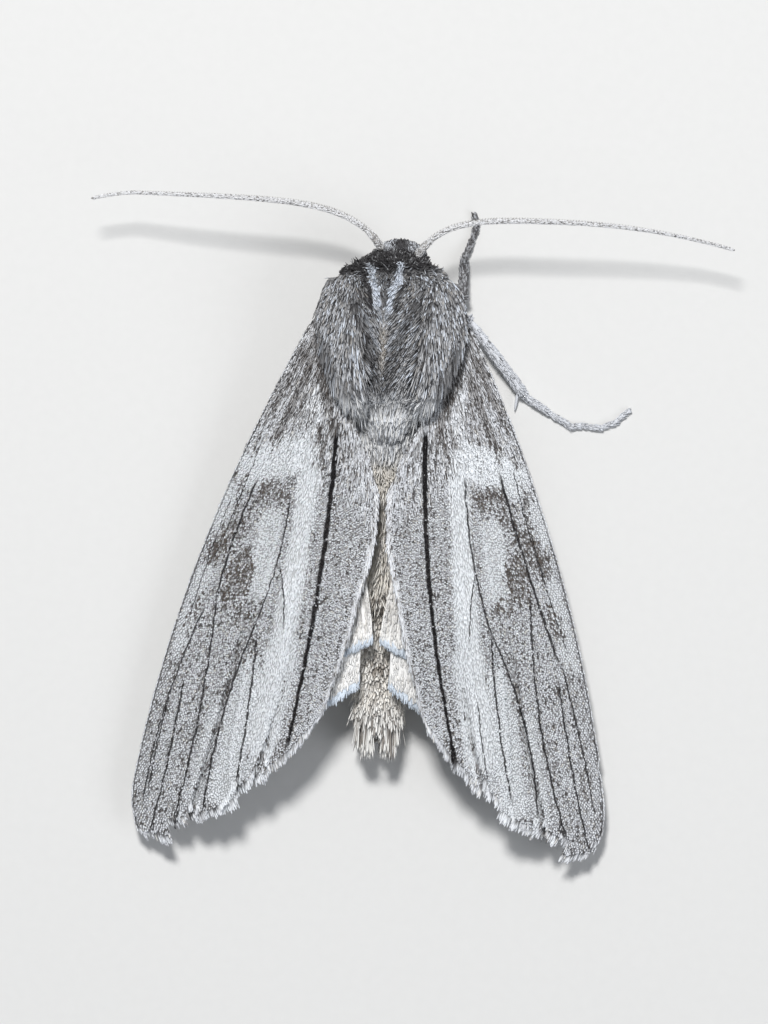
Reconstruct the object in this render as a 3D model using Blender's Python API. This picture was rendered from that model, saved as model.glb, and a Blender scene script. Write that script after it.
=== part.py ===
"""A resting moth, still and life size: head towards -Y, its left side towards +X, feet on z = 0."""
import math
import random

import bmesh
import bpy
from mathutils import Vector
from mathutils.bvhtree import BVHTree

for old in list(bpy.data.objects):
    bpy.data.objects.remove(old, do_unlink=True)

MM = 0.001
GAP = 0.3
SHIFT_X = 0.7317
SHIFT_Y = -12.42275

MEMBRANE_HALF = 0.25
MEMBRANE_EDGE_HALF = 0.15
VEIN_HEIGHT = 0.12
VEIN_HALF_WIDTH = 0.16

FORE_HINGE_X = 3.35
FORE_HINGE_Y = 3.4
FORE_APEX_Y = 26.7
FORE_INNER_START_Y = 9.3
FORE_TORNUS_Y = 20.4
FORE_VEIN_ENDS = (0.09, 0.18, 0.27, 0.365, 0.46, 0.59, 0.74, 0.87)
FORE_VEIN_STARTS = (0.0, 0.40, 0.50, 0.50, 0.50, 0.0, 0.0, 0.0)
FORE_STATIONS = 11

HIND_HINGE_X = 2.75
HIND_HINGE_Y = 6.7
HIND_APEX_X = 7.0
HIND_APEX_Y = 20.2
HIND_INNER_X = 1.25
HIND_INNER_Y = 9.2
HIND_ANAL_X = 0.65
HIND_ANAL_Y = 19.2
HIND_DROP = 0.96
HIND_VEIN_ENDS = (0.12, 0.30, 0.48, 0.66, 0.82)
HIND_VEIN_STARTS = (0.0, 0.35, 0.35, 0.0, 0.0)
HIND_STATIONS = 8

THORAX_FRONT_Y = 1.7
THORAX_BACK_Y = 8.3
THORAX_LOW_Z = 2.2
THORAX_LOW_HALF_WIDTH = 2.25
THORAX_LOW_HALF_HEIGHT = 1.2
THORAX_TOP_Z = 5.45
COLLAR_REACH_X = 2.25
COLLAR_TOP_Z = 4.75
COAT_DEPTH = 0.42
LOCK_THICKNESS = 0.20
LOCK_SINK = 0.22

ABDOMEN_START_Y = 8.6
ABDOMEN_END_Y = 20.6
ABDOMEN_HALF_WIDTH = 1.5
ABDOMEN_HALF_HEIGHT = 1.12
ABDOMEN_BASE_Z = 2.05
ABDOMEN_TIP_Z = 1.75
ABDOMEN_RINGS = 8

HEAD_Y = 0.55
HEAD_Z = 2.75
HEAD_HALF = (1.25, 0.85, 1.0)
EYE_X = 1.33
EYE_Y = 0.62
EYE_Z = 2.58
EYE_HALF = (0.5, 0.62, 0.68)

ANTENNA_ROOT = (0.86, -0.14, 3.78)
ANTENNA_RADIUS = 0.25


def blend(a, b, f):
    return a + (b - a) * f


def smooth(a, b, x):
    f = min(1.0, max(0.0, (x - a) / (b - a)))
    return f * f * (3.0 - 2.0 * f)


def below_limit(value, limit, room):
    """Eases a value that comes within some room of a limit, so that it never reaches it."""
    start = limit - room
    return start + room * math.tanh((value - start) / room) if value > start else value


def above_limit(value, limit, room):
    return -below_limit(-value, -limit, room)


def material(name, colour, roughness):
    made = bpy.data.materials.new(name)
    made.use_nodes = True
    shader = made.node_tree.nodes["Principled BSDF"]
    shader.inputs["Base Color"].default_value = (*colour, 1.0)
    shader.inputs["Roughness"].default_value = roughness
    return made


GREY_COAT = material("grey_coat", (0.42, 0.43, 0.45), 0.8)
DARK_COAT = material("head_coat", (0.16, 0.15, 0.15), 0.8)
WING_SCALES = material("wing_scales", (0.66, 0.68, 0.72), 0.7)
HINDWING_SCALES = material("hindwing_scales", (0.80, 0.82, 0.86), 0.7)
PALE_COAT = material("abdomen_coat", (0.60, 0.57, 0.52), 0.8)
LEG_SCALES = material("leg_scales", (0.55, 0.57, 0.62), 0.7)
ANTENNA_SCALES = material("antenna_scales", (0.70, 0.71, 0.74), 0.6)
EYE_SURFACE = material("eye_surface", (0.03, 0.022, 0.02), 0.15)


def mesh_object(name, points, faces, look=None):
    """Makes an object from points in millimetres and turns its faces outward."""
    mesh = bpy.data.meshes.new(name)
    mesh.from_pydata([(p[0] * MM, p[1] * MM, p[2] * MM) for p in points], [], faces)
    bm = bmesh.new()
    bm.from_mesh(mesh)
    bmesh.ops.recalc_face_normals(bm, faces=bm.faces)
    bmesh.ops.triangulate(bm, faces=[f for f in bm.faces if len(f.verts) > 4])
    bm.to_mesh(mesh)
    bm.free()
    made = bpy.data.objects.new(name, mesh)
    bpy.context.scene.collection.objects.link(made)
    if look:
        mesh.materials.append(look)
    return made


def loft(name, rings, look=None):
    """Skins rings of points and closes both ends with a fan."""
    count = len(rings[0])
    points = [p for ring in rings for p in ring]
    faces = []
    for i in range(len(rings) - 1):
        for j in range(count):
            k = (j + 1) % count
            faces.append((i * count + j, i * count + k, (i + 1) * count + k, (i + 1) * count + j))
    for ring_index in (0, len(rings) - 1):
        middle = sum((Vector(p) for p in rings[ring_index]), Vector()) / count
        points.append(middle)
        start = ring_index * count
        for j in range(count):
            faces.append((start + j, start + (j + 1) % count, len(points) - 1))
    return mesh_object(name, points, faces, look)


def ellipsoid(name, centre, half, columns, rows, look=None):
    """A closed ellipsoid with its poles on the y axis."""
    rings = []
    for i in range(1, rows):
        angle = math.pi * i / rows
        y = centre[1] - half[1] * math.cos(angle)
        size = math.sin(angle)
        rings.append([
            (
                centre[0] + half[0] * size * math.cos(2 * math.pi * j / columns),
                y,
                centre[2] + half[2] * size * math.sin(2 * math.pi * j / columns),
            )
            for j in range(columns)
        ])
    count = columns
    points = [p for ring in rings for p in ring]
    faces = []
    for i in range(len(rings) - 1):
        for j in range(count):
            k = (j + 1) % count
            faces.append((i * count + j, i * count + k, (i + 1) * count + k, (i + 1) * count + j))
    for ring_index, sign in ((0, -1.0), (len(rings) - 1, 1.0)):
        points.append((centre[0], centre[1] + sign * half[1], centre[2]))
        start = ring_index * count
        for j in range(count):
            faces.append((start + j, start + (j + 1) % count, len(points) - 1))
    return mesh_object(name, points, faces, look)


def path_frames(points):
    """Tangent, side and lift directions along a path."""
    frames = []
    for i, point in enumerate(points):
        ahead = Vector(points[min(i + 1, len(points) - 1)])
        behind = Vector(points[max(i - 1, 0)])
        along = (ahead - behind).normalized()
        side = along.cross(Vector((0.0, 0.0, 1.0)))
        if side.length < 0.05:
            side = along.cross(Vector((0.0, 1.0, 0.0)))
        side.normalize()
        frames.append((Vector(point), along, side, side.cross(along)))
    return frames


def tube(name, points, radii, sides, look=None, flatness=1.0, floor=None):
    """A round bar along a path; what would pass below the floor is laid flat on it."""
    rings = []
    for (centre, _, side, lift), radius in zip(path_frames(points), radii):
        ring = []
        for j in range(sides):
            angle = 2 * math.pi * (j + 0.5) / sides
            p = centre + side * (radius * math.cos(angle)) + lift * (radius * flatness * math.sin(angle))
            if floor is not None and p.z < floor:
                p.z = floor
            ring.append(tuple(p))
        rings.append(ring)
    return loft(name, rings, look)


def keep_largest(target):
    """Drops every closed surface of an object but its largest."""
    bm = bmesh.new()
    bm.from_mesh(target.data)
    bm.faces.ensure_lookup_table()
    seen = set()
    groups = []
    for face in bm.faces:
        if face in seen:
            continue
        stack = [face]
        seen.add(face)
        group = []
        while stack:
            at = stack.pop()
            group.append(at)
            for edge in at.edges:
                for other in edge.link_faces if len(edge.link_faces) == 2 else ():
                    if other not in seen:
                        seen.add(other)
                        stack.append(other)
        groups.append(group)
    groups.sort(key=len)
    loose = [f for group in groups[:-1] for f in group]
    bmesh.ops.delete(bm, geom=loose, context="FACES")
    stray = [v for v in bm.verts if not v.link_faces]
    bmesh.ops.delete(bm, geom=stray, context="VERTS")
    bm.to_mesh(target.data)
    bm.free()


def fuse(base, pieces, operation="UNION", solver="EXACT"):
    """Joins or cuts a base with many closed pieces in one Boolean and drops the pieces."""
    group = bpy.data.collections.new(base.name + "_pieces")
    bpy.context.scene.collection.children.link(group)
    for piece in pieces:
        bpy.context.scene.collection.objects.unlink(piece)
        group.objects.link(piece)
    cut = base.modifiers.new("fuse", "BOOLEAN")
    cut.operation = operation
    cut.solver = solver
    cut.operand_type = "COLLECTION"
    cut.collection = group
    bpy.context.view_layer.update()
    with_all = bpy.data.meshes.new_from_object(base.evaluated_get(bpy.context.evaluated_depsgraph_get()))
    base.modifiers.clear()
    looks = list(base.data.materials)
    base.data = with_all
    base.data.materials.clear()
    for look in looks:
        base.data.materials.append(look)
    for piece in pieces:
        bpy.data.objects.remove(piece, do_unlink=True)
    bpy.data.collections.remove(group)
    keep_largest(base)
    return base


def fore_costa_x(y):
    """How far out the forewing's front edge lies at a length y."""
    f = (y - FORE_HINGE_Y) / (FORE_APEX_Y - FORE_HINGE_Y)
    tip = max(0.0, (f - 0.86) / 0.14)
    return FORE_HINGE_X + 12.05 * f - 4.80 * f * f - 1.15 * tip ** 2.6


def fore_inner_x(y):
    """How far out the forewing's inner edge lies at a length y."""
    if y > 11.3:
        return 0.32 + 0.022 * (y - 11.3) ** 2
    return 0.32 + 0.10 * (11.3 - y) ** 2


def fore_base(f):
    """The forewing's root edge along the side of the thorax."""
    a = Vector((FORE_HINGE_X, FORE_HINGE_Y))
    b = Vector((2.2, 6.2))
    c = Vector((fore_inner_x(FORE_INNER_START_Y), FORE_INNER_START_Y))
    return a * (1 - f) ** 2 + b * (2 * f * (1 - f)) + c * f * f


def fore_outer(t):
    """The forewing's outer edge from apex to tornus: a bow with the steps of the folded fan."""
    a = Vector((fore_costa_x(FORE_APEX_Y), FORE_APEX_Y))
    c = Vector((fore_inner_x(FORE_TORNUS_Y), FORE_TORNUS_Y))
    out = Vector((-0.65, 0.76))
    bow = 1.13 * math.sin(math.pi * t ** 0.8) ** 0.7 if 0.0 < t < 1.0 else 0.0
    bow -= 0.36 * math.exp(-((t - 0.14) / 0.035) ** 2) + 0.20 * math.exp(-((t - 0.54) / 0.04) ** 2)
    bow -= 0.34 * math.exp(-((t - 0.32) / 0.13) ** 2)
    return a * (1 - t) + c * t + out * bow


def fore_plan(s, t):
    """Where the forewing's point (s, t) lies seen from above: s from root to tip, t from front to inner edge."""
    costa_y = blend(FORE_HINGE_Y, FORE_APEX_Y, s)
    costa = Vector((fore_costa_x(costa_y), costa_y))
    inner_y = blend(FORE_INNER_START_Y, FORE_TORNUS_Y, s)
    inner = Vector((fore_inner_x(inner_y), inner_y))
    base = fore_base(t ** 1.8)
    outer = fore_outer(t)
    corners = (
        fore_base(0.0) * ((1 - s) * (1 - t))
        + fore_base(1.0) * ((1 - s) * t)
        + fore_outer(0.0) * (s * (1 - t))
        + fore_outer(1.0) * (s * t)
    )
    return costa * (1 - t) + inner * t + base * (1 - s) + outer * s - corners


def roof_height(x, y):
    """Height of the forewing's middle sheet over a point of the plan."""
    front = fore_costa_x(min(y, FORE_APEX_Y))
    back = fore_inner_x(y) if 11.3 < y else 0.32
    back = min(back, 4.4)
    q = min(1.0, max(0.0, (front - abs(x)) / (front - back)))
    low = blend(2.45, 1.30, smooth(FORE_HINGE_Y - 2.0, 15.0, y)) - 0.30 * smooth(15.0, 26.7, y)
    high = 3.50 + 0.65 * smooth(4.6, 9.0, y) + 0.45 * smooth(8.6, 12.5, y)
    high -= 0.62 * smooth(15.5, 20.8, y) + 1.25 * smooth(19.5, 27.0, y)
    return low + (high - low) * (1.0 - (1.0 - q) ** 1.5)


def vein_lines(ends, starts, half_width, width):
    """Fractions across a wing with a line at each vein's crest, feet and the middle between veins."""
    lines = [(0.0, None, 0.0)]
    for i, end in enumerate(ends):
        before = ends[i - 1] if i else 0.0
        if end - before > 0.06:
            lines.append((0.5 * (before + end), None, 0.0))
        w = half_width / width
        lines.append((end - w, None, 0.0))
        lines.append((end, i, 1.0))
        lines.append((end + w, None, 0.0))
    lines.append((0.5 * (ends[-1] + 1.0), None, 0.0))
    lines.append((1.0, None, 0.0))
    return lines


def wing(name, plan, height, ends, starts, stations, width, side, look):
    """A closed sheet with raised veins, lying on a height function over its plan."""
    lines = vein_lines(ends, starts, VEIN_HALF_WIDTH, width)
    columns = len(lines)
    rows = stations + 1
    points = []
    for face_sign in (1.0, -1.0):
        for i in range(rows):
            s = 1.0 - (1.0 - i / stations) ** 1.3
            for j, (t, vein, raised) in enumerate(lines):
                p = plan(s, t)
                edge = i in (0, rows - 1) or j in (0, columns - 1)
                half = MEMBRANE_EDGE_HALF if edge else MEMBRANE_HALF
                z = height(p.x, p.y) + face_sign * half
                if vein is not None and face_sign > 0:
                    grown = smooth(starts[vein] - 0.02, starts[vein] + 0.16, s) if starts[vein] else 1.0
                    z += VEIN_HEIGHT * raised * grown * (1.0 if i < rows - 1 else 0.4)
                points.append((side * p.x, p.y, z))
    faces = []
    sheet = rows * columns
    for i in range(rows - 1):
        for j in range(columns - 1):
            a = i * columns + j
            b = a + 1
            c = a + columns
            d = c + 1
            faces.append((a, b, d))
            faces.append((a, d, c))
            faces.append((sheet + a, sheet + d, sheet + b))
            faces.append((sheet + a, sheet + c, sheet + d))
    rim = [j for j in range(columns)]
    rim += [i * columns + columns - 1 for i in range(1, rows)]
    rim += [(rows - 1) * columns + j for j in range(columns - 2, -1, -1)]
    rim += [i * columns for i in range(rows - 2, 0, -1)]
    for k, a in enumerate(rim):
        b = rim[(k + 1) % len(rim)]
        faces.append((a, b, sheet + b))
        faces.append((a, sheet + b, sheet + a))
    return mesh_object(name, points, faces, look)


def hind_plan(s, t):
    """Where the hindwing's point (s, t) lies seen from above."""
    y = blend(HIND_HINGE_Y, HIND_APEX_Y, s)
    costa = Vector((blend(HIND_HINGE_X, HIND_APEX_X, s ** 0.8), y))
    inner_y = blend(HIND_INNER_Y, HIND_ANAL_Y, s)
    lap = 0.42 * smooth(13.4, 16.9, inner_y) * (1.0 - smooth(16.9, 17.6, inner_y))
    inner_x = blend(HIND_INNER_X, HIND_ANAL_X, smooth(HIND_INNER_Y, 15.0, inner_y)) - lap
    inner = Vector((inner_x, inner_y))
    base = Vector((HIND_HINGE_X, HIND_HINGE_Y)).lerp(Vector((HIND_INNER_X, HIND_INNER_Y)), t)
    apex = Vector((HIND_APEX_X, HIND_APEX_Y))
    anal = Vector((HIND_ANAL_X, HIND_ANAL_Y))
    outer = apex.lerp(anal, t) + Vector((0.12, 1.0)) * (1.25 * math.sin(math.pi * t ** 0.9) ** 0.9)
    corners = (
        Vector((HIND_HINGE_X, HIND_HINGE_Y)) * ((1 - s) * (1 - t))
        + Vector((HIND_INNER_X, HIND_INNER_Y)) * ((1 - s) * t)
        + apex * (s * (1 - t))
        + anal * (s * t)
    )
    return costa * (1 - t) + inner * t + base * (1 - s) + outer * s - corners


def hind_height(x, y):
    return roof_height(x, y) - HIND_DROP


def body_ring(y, centre_z, half_width, up, down, columns):
    """One cross-section of the body, rounder below than above where up and down differ."""
    ring = []
    for j in range(columns):
        angle = 2 * math.pi * j / columns
        rise = up if math.sin(angle) > 0 else down
        ring.append((half_width * math.cos(angle), y, centre_z + rise * math.sin(angle)))
    return ring


def root_edge_x(y):
    """How far out the forewing's root edge lies at a length y."""
    best = min((abs(fore_base(i / 60.0).y - y), fore_base(i / 60.0).x) for i in range(61))
    return best[1]


def thorax_low():
    rings = []
    count = 10
    for i in range(count + 1):
        f = i / count
        y = blend(THORAX_FRONT_Y, THORAX_BACK_Y, f)
        size = math.sin(math.pi * blend(0.16, 0.80, f)) ** 0.6
        rings.append(body_ring(
            y, THORAX_LOW_Z - 0.15 * f,
            THORAX_LOW_HALF_WIDTH * size,
            THORAX_LOW_HALF_HEIGHT * size,
            THORAX_LOW_HALF_HEIGHT * size,
            18,
        ))
    return loft("thorax_low", rings)


def hump_ring(y, columns):
    """One cross-section of the thorax's upper hump, clear of the wing roots."""
    rise = math.sin(math.pi * min(0.97, 0.20 + 0.77 * (y - 1.75) / 6.3)) ** 0.55
    top = blend(3.4, THORAX_TOP_Z - COAT_DEPTH, rise)
    half = min(2.65, 1.75 + 1.0 * smooth(1.7, 3.6, y))
    if y > FORE_HINGE_Y - 0.6:
        half = min(half, root_edge_x(max(y, FORE_HINGE_Y)) - GAP - 0.14)
    middle = 2.9
    return body_ring(y, middle, half, top - middle, 0.9, columns)


def thorax_hump():
    rings = [hump_ring(blend(1.75, 8.05, i / 10.0), 18) for i in range(11)]
    return loft("thorax_hump", rings)


def tegula_axis(f):
    """Middle, half width, half thickness and tilt of the shoulder tuft a part f of the way back."""
    x = 2.28 + 0.16 * math.sin(math.pi * min(1.0, f * 1.9)) - 0.95 * f ** 1.5
    y = blend(1.8, 7.9, f)
    z = 3.80 + 1.25 * smooth(0.0, 0.9, f) ** 0.8
    half = 1.24 * math.sin(math.pi * (0.20 + 0.80 * f)) ** 0.8 + 0.10
    thick = 0.42 * math.sin(math.pi * (0.12 + 0.85 * f)) ** 0.7 + 0.06
    return x, y, z, half, thick, blend(0.75, 0.25, f)


def over_wing(x, y):
    """How far a point seen from above is over a forewing's root: 0 inside it, 1 within reach of its edge."""
    if y < FORE_HINGE_Y - 0.75 or y > 12.0:
        return 0.0
    if y < FORE_INNER_START_Y:
        edge = root_edge_x(max(y, FORE_HINGE_Y)) - GAP - 0.16
    else:
        edge = fore_inner_x(y) - GAP
    return smooth(edge - 0.4, edge, abs(x)) * smooth(FORE_HINGE_Y - 0.75, FORE_HINGE_Y - 0.40, y)


def clear_of_wing(p):
    """Lifts a point that is over a forewing to the gap above its veins."""
    reach = over_wing(p[0], p[1])
    if reach > 0.0 and p[2] > 2.9:
        lowest = roof_height(p[0], p[1]) + MEMBRANE_HALF + VEIN_HEIGHT + GAP
        return (p[0], p[1], blend(p[2], above_limit(p[2], lowest, 0.25), reach))
    return tuple(p)


def tegula_core(side):
    """The dense inside of the shoulder's tuft of fur, a curved pad that lies back over the wing's root."""
    rings = []
    count = 6
    for i in range(count + 1):
        f = 0.80 * i / count
        x, y, z, half, thick, tilt = tegula_axis(f)
        half *= 0.80 * (1.0 - 0.45 * (i / count) ** 3)
        thick *= 0.62
        ring = []
        for j in range(10):
            angle = 2 * math.pi * j / 10
            across = half * math.cos(angle)
            px = x + across * math.cos(tilt)
            pz = z - across * math.sin(tilt) + thick * math.sin(angle)
            ring.append(clear_of_wing((side * px, y, pz)))
        rings.append(ring)
    return loft("tegula_core", rings)


def collar_core():
    """The dense inside of the dark ruff, an arch over the back of the head."""
    rings = []
    count = 10
    for i in range(count + 1):
        angle = math.pi * blend(0.05, 0.95, i / count)
        x = (COLLAR_REACH_X - 0.25) * math.cos(angle)
        z = 3.05 + (COLLAR_TOP_Z - 3.05 - 0.42) * math.sin(angle) ** 0.8
        ring = []
        for j in range(6):
            turn = 2 * math.pi * j / 6
            y = 1.20 + 0.66 * math.cos(turn)
            r = 0.24 * math.sin(turn)
            ring.append((x + r * math.cos(angle), y, z + r * math.sin(angle) + 0.12 * (y - 1.0)))
        rings.append(ring)
    return loft("collar_core", rings)


def surface_of(objects):
    """A search tree over several closed objects, in millimetres."""
    points = []
    faces = []
    for each in objects:
        start = len(points)
        points += [tuple(v.co / MM) for v in each.data.vertices]
        faces += [tuple(start + k for k in face.vertices) for face in each.data.polygons]
    return BVHTree.FromPolygons(points, faces)


def lock(tree, start, flow, length, width, lift, keep, steps=3, thickness=LOCK_THICKNESS):
    """A flat tapered lock of hair: rooted in the surface, bending along it and rising to its tip."""
    place, normal, _, _ = tree.find_nearest(Vector(start))
    if start[2] > 6.0:
        place, normal, _, _ = tree.ray_cast(Vector(start), Vector((0.0, 0.0, -1.0)))
    heading = Vector(flow).normalized()
    rings = []
    at = place - normal * LOCK_SINK
    shape = ((0.0, 0.78), (0.36, 1.0), (0.72, 0.74), (1.0, 0.0))
    for k in range(steps + 1):
        f, broad = shape[k]
        if k:
            grown = (f - shape[k - 1][0]) * length
            aim = at + heading * grown
            below, turned, _, _ = tree.ray_cast(aim + normal * 0.9, normal * -1.0, 1.7)
            wanted = 0.05 + lift * f
            if below is not None and (aim - below).dot(normal) < wanted:
                aim = below + normal * wanted
                normal = (normal + turned).normalized()
                heading = (heading - normal * heading.dot(normal) * 0.8).normalized()
            at = aim
        side = heading.cross(normal).normalized()
        up = side.cross(heading).normalized()
        if broad:
            half = 0.5 * width * broad
            thick = 0.5 * thickness * (0.6 + 0.4 * broad)
            corners = (side * half, up * thick, side * -half, up * -thick)
            rings.append([keep(tuple(at + c)) for c in corners])
    tip = keep(tuple(at))
    points = [p for ring in rings for p in ring] + [tip]
    faces = []
    for i in range(len(rings) - 1):
        for j in range(4):
            k = (j + 1) % 4
            a, b, c, d = i * 4 + j, i * 4 + k, (i + 1) * 4 + k, (i + 1) * 4 + j
            faces.append((a, b, c))
            faces.append((a, c, d))
    last = (len(rings) - 1) * 4
    for j in range(4):
        faces.append((last + j, last + (j + 1) % 4, len(points) - 1))
    faces.append((3, 2, 1))
    faces.append((3, 1, 0))
    return mesh_object("lock", points, faces)


def keep_thorax(p):
    """Holds a point of the thorax's coat clear of the wings, the head, the eyes and the feelers."""
    x, y, z = clear_of_wing(p)
    if y < 2.2:
        away = math.hypot(x / 2.08, (z - 2.6) / 1.48)
        grown = blend(above_limit(away, 1.0, 0.15) / max(away, 0.2), 1.0, smooth(1.5, 2.2, y))
        x *= grown
        z = 2.6 + (z - 2.6) * grown
    nearest = blend(0.48, 0.06, smooth(4.1, 4.6, z)) - 1.2 * smooth(1.5, 2.1, abs(x))
    return x, above_limit(y, nearest, 0.3), max(z, 0.80)


def thorax_locks(tree, rng):
    """Locks in rows from front to back, each row lying over the roots of the next."""
    locks = []
    for side in (1.0, -1.0):
        for row in range(5):
            f = 0.04 + 0.16 * row
            x, y, z, half, _, tilt = tegula_axis(f)
            across = 3 if row < 4 else 2
            for k in range(across):
                u = 1.5 * ((k + 0.25 + 0.5 * (row % 2)) / across - 0.5) + rng.uniform(-0.05, 0.05)
                start = (side * (x + u * 0.9 * half * math.cos(tilt)), y, 7.0)
                inward = -side * (0.06 + 0.26 * f + 0.16 * u)
                flow = (inward + rng.uniform(-0.05, 0.05), 1.0, 0.0)
                locks.append(lock(tree, start, flow, 2.35 * rng.uniform(0.92, 1.08),
                                  0.92 * rng.uniform(0.9, 1.1), 0.30, keep_thorax))
        for row in range(3):
            y = 2.6 + 1.35 * row
            angle = -0.42
            start = (side * 3.2 * math.cos(angle), y, 2.2 + 2.4 * math.sin(angle))
            locks.append(lock(tree, start, (side * 0.05, 1.0, -0.15), 1.4, 0.80, 0.10, keep_thorax))
    for row in range(4):
        y = 2.1 + 1.15 * row
        across = 2 if row % 2 == 0 else 3
        for k in range(across):
            x = (k - 0.5 * (across - 1)) * 0.66 + rng.uniform(-0.05, 0.05)
            flow = (-0.12 * x, 1.0, 0.02)
            locks.append(lock(tree, (x, y, 7.0), flow, 1.85 * rng.uniform(0.92, 1.08), 0.74, 0.26, keep_thorax))
    for k in range(5):
        x = (k - 2) * 0.30
        y = 6.35 + 0.35 * (k % 2)
        flow = (0.15 * x, 1.0, 0.16)
        locks.append(lock(tree, (x, y, 7.0), flow, 2.35 * rng.uniform(0.92, 1.0), 0.52, 0.55, keep_thorax))
    for k in range(7):
        angle = math.pi * blend(0.22, 0.78, k / 6.0)
        out = Vector((math.cos(angle), 0.0, math.sin(angle)))
        start = Vector((2.2 * out.x, 1.02, 3.05 + 1.7 * out.z))
        flow = out * 0.50 + Vector((0.0, -0.80, 0.0))
        locks.append(lock(tree, start, flow, 1.0 * rng.uniform(0.85, 1.15), 0.74, 0.30, keep_thorax))
    for k in range(8):
        angle = math.pi * blend(0.08, 0.92, k / 7.0)
        out = Vector((math.cos(angle), 0.0, math.sin(angle)))
        start = Vector((2.4 * out.x, 1.22, 3.05 + 1.8 * out.z))
        flow = out * 0.45 + Vector((0.0, 0.9, 0.0))
        locks.append(lock(tree, start, flow, 1.45 * rng.uniform(0.9, 1.1), 0.86, 0.26, keep_thorax))
    return locks


def make_thorax():
    base = thorax_low()
    base.name = "thorax"
    cores = [thorax_hump(), tegula_core(1.0), tegula_core(-1.0), collar_core()]
    tree = surface_of([base] + cores)
    rng = random.Random(11)
    fuse(base, cores + thorax_locks(tree, rng))
    base.data.name = "thorax"
    base.data.materials.append(GREY_COAT)
    return base


def abdomen_axis_z(y):
    return blend(ABDOMEN_BASE_Z, ABDOMEN_TIP_Z, (y - ABDOMEN_START_Y) / (ABDOMEN_END_Y - ABDOMEN_START_Y))


def abdomen_axis_x(y):
    """The tail end is bent a little to the moth's right."""
    return -0.26 * smooth(13.0, 21.0, y)


def abdomen_size(y):
    """Girth of the abdomen at a length y, as a part of its widest, with a step at each ring's end."""
    f = (y - ABDOMEN_START_Y) / (ABDOMEN_END_Y - ABDOMEN_START_Y)
    body = (0.80 + 0.20 * smooth(0.0, 0.25, f)) * (1.0 - 0.30 * smooth(0.45, 1.0, f))
    return body


def keep_plain(p):
    return p[0], p[1], max(p[2], 0.45)


def make_abdomen():
    rings = []
    step = (ABDOMEN_END_Y - ABDOMEN_START_Y) / ABDOMEN_RINGS
    for i in range(ABDOMEN_RINGS):
        for f, swell in ((0.0, 0.95), (0.85, 1.015)):
            y = ABDOMEN_START_Y + (i + f) * step
            size = abdomen_size(y) * swell
            if i == 0 and f == 0.0:
                size *= 0.88
            ring = body_ring(
                y, abdomen_axis_z(y), ABDOMEN_HALF_WIDTH * size,
                ABDOMEN_HALF_HEIGHT * size, ABDOMEN_HALF_HEIGHT * size, 16,
            )
            rings.append([(p[0] + abdomen_axis_x(y), p[1], p[2]) for p in ring])
    for f in (0.05, 0.6, 1.0):
        y = blend(ABDOMEN_END_Y, ABDOMEN_END_Y + 0.75, f)
        half = blend(0.94, 0.50, f)
        thick = blend(0.70, 0.34, f)
        ring = body_ring(y, ABDOMEN_TIP_Z, half, thick, thick, 16)
        rings.append([(p[0] + abdomen_axis_x(y), p[1], p[2]) for p in ring])
    base = loft("abdomen", rings)
    tree = surface_of([base])
    rng = random.Random(23)
    locks = []
    for ring, (y, count, long, broad) in enumerate(((19.60, 10, 1.95, 0.66), (20.45, 9, 2.00, 0.62))):
        for k in range(count):
            angle = 2 * math.pi * (k + 0.5 * ring) / count
            out = Vector((math.cos(angle), 0.0, 0.75 * math.sin(angle)))
            start = Vector((abdomen_axis_x(y) + 1.4 * out.x, y, ABDOMEN_TIP_Z + 1.4 * out.z))
            flow = Vector((-0.02, 1.0, 0.02)) + out * rng.uniform(-0.02, 0.10)
            locks.append(lock(tree, start, flow, long * rng.uniform(0.88, 1.08), broad, 0.16, keep_plain))
    for k in range(3):
        x = (k - 1) * 0.26
        flow = (0.5 * x, 1.0, rng.uniform(-0.1, 0.15))
        start = (x + abdomen_axis_x(21.0), 21.5, ABDOMEN_TIP_Z)
        locks.append(lock(tree, start, flow, 1.25, 0.42, 0.1, keep_plain))
    fuse(base, locks)
    base.data.name = "abdomen"
    base.data.materials.append(PALE_COAT)
    return base


def keep_head(p):
    """Holds the head's hair clear of the ruff behind it and the feelers beside it."""
    x, y, z = p
    if z > 3.3:
        x = 0.28 * math.tanh(x / 0.28)
        y = below_limit(y, 0.12, 0.2)
    return x, above_limit(y, -0.64, 0.2), below_limit(z, 4.38, 0.3)


def make_head():
    head = ellipsoid("head", (0.0, HEAD_Y, HEAD_Z), HEAD_HALF, 18, 10)
    sockets = []
    for side in (1.0, -1.0):
        half = tuple(h + GAP for h in EYE_HALF)
        sockets.append(ellipsoid("socket", (side * EYE_X, EYE_Y, EYE_Z), half, 14, 8))
    fuse(head, sockets, "DIFFERENCE")
    tree = surface_of([head])
    rng = random.Random(5)
    locks = []
    for k in range(4):
        x = (k % 2 - 0.5) * 0.22
        start = (x, 0.02 + 0.22 * (k // 2), 4.4)
        flow = (0.8 * x, -0.75, 0.55)
        locks.append(lock(tree, start, flow, 0.62 * rng.uniform(0.85, 1.1), 0.28, 0.40, keep_head))
    for k in range(3):
        x = (k - 1) * 0.26
        start = (x, -1.0, 3.25 - 0.10 * abs(k - 1))
        flow = (0.5 * x, -0.35, -0.9)
        locks.append(lock(tree, start, flow, 0.70 * rng.uniform(0.85, 1.1), 0.34, 0.12, keep_head))
    fuse(head, locks)
    head.data.name = "head"
    head.data.materials.append(DARK_COAT)
    return head


def make_eye(name, side):
    return ellipsoid(name, (side * EYE_X, EYE_Y, EYE_Z), EYE_HALF, 14, 8, EYE_SURFACE)


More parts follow.
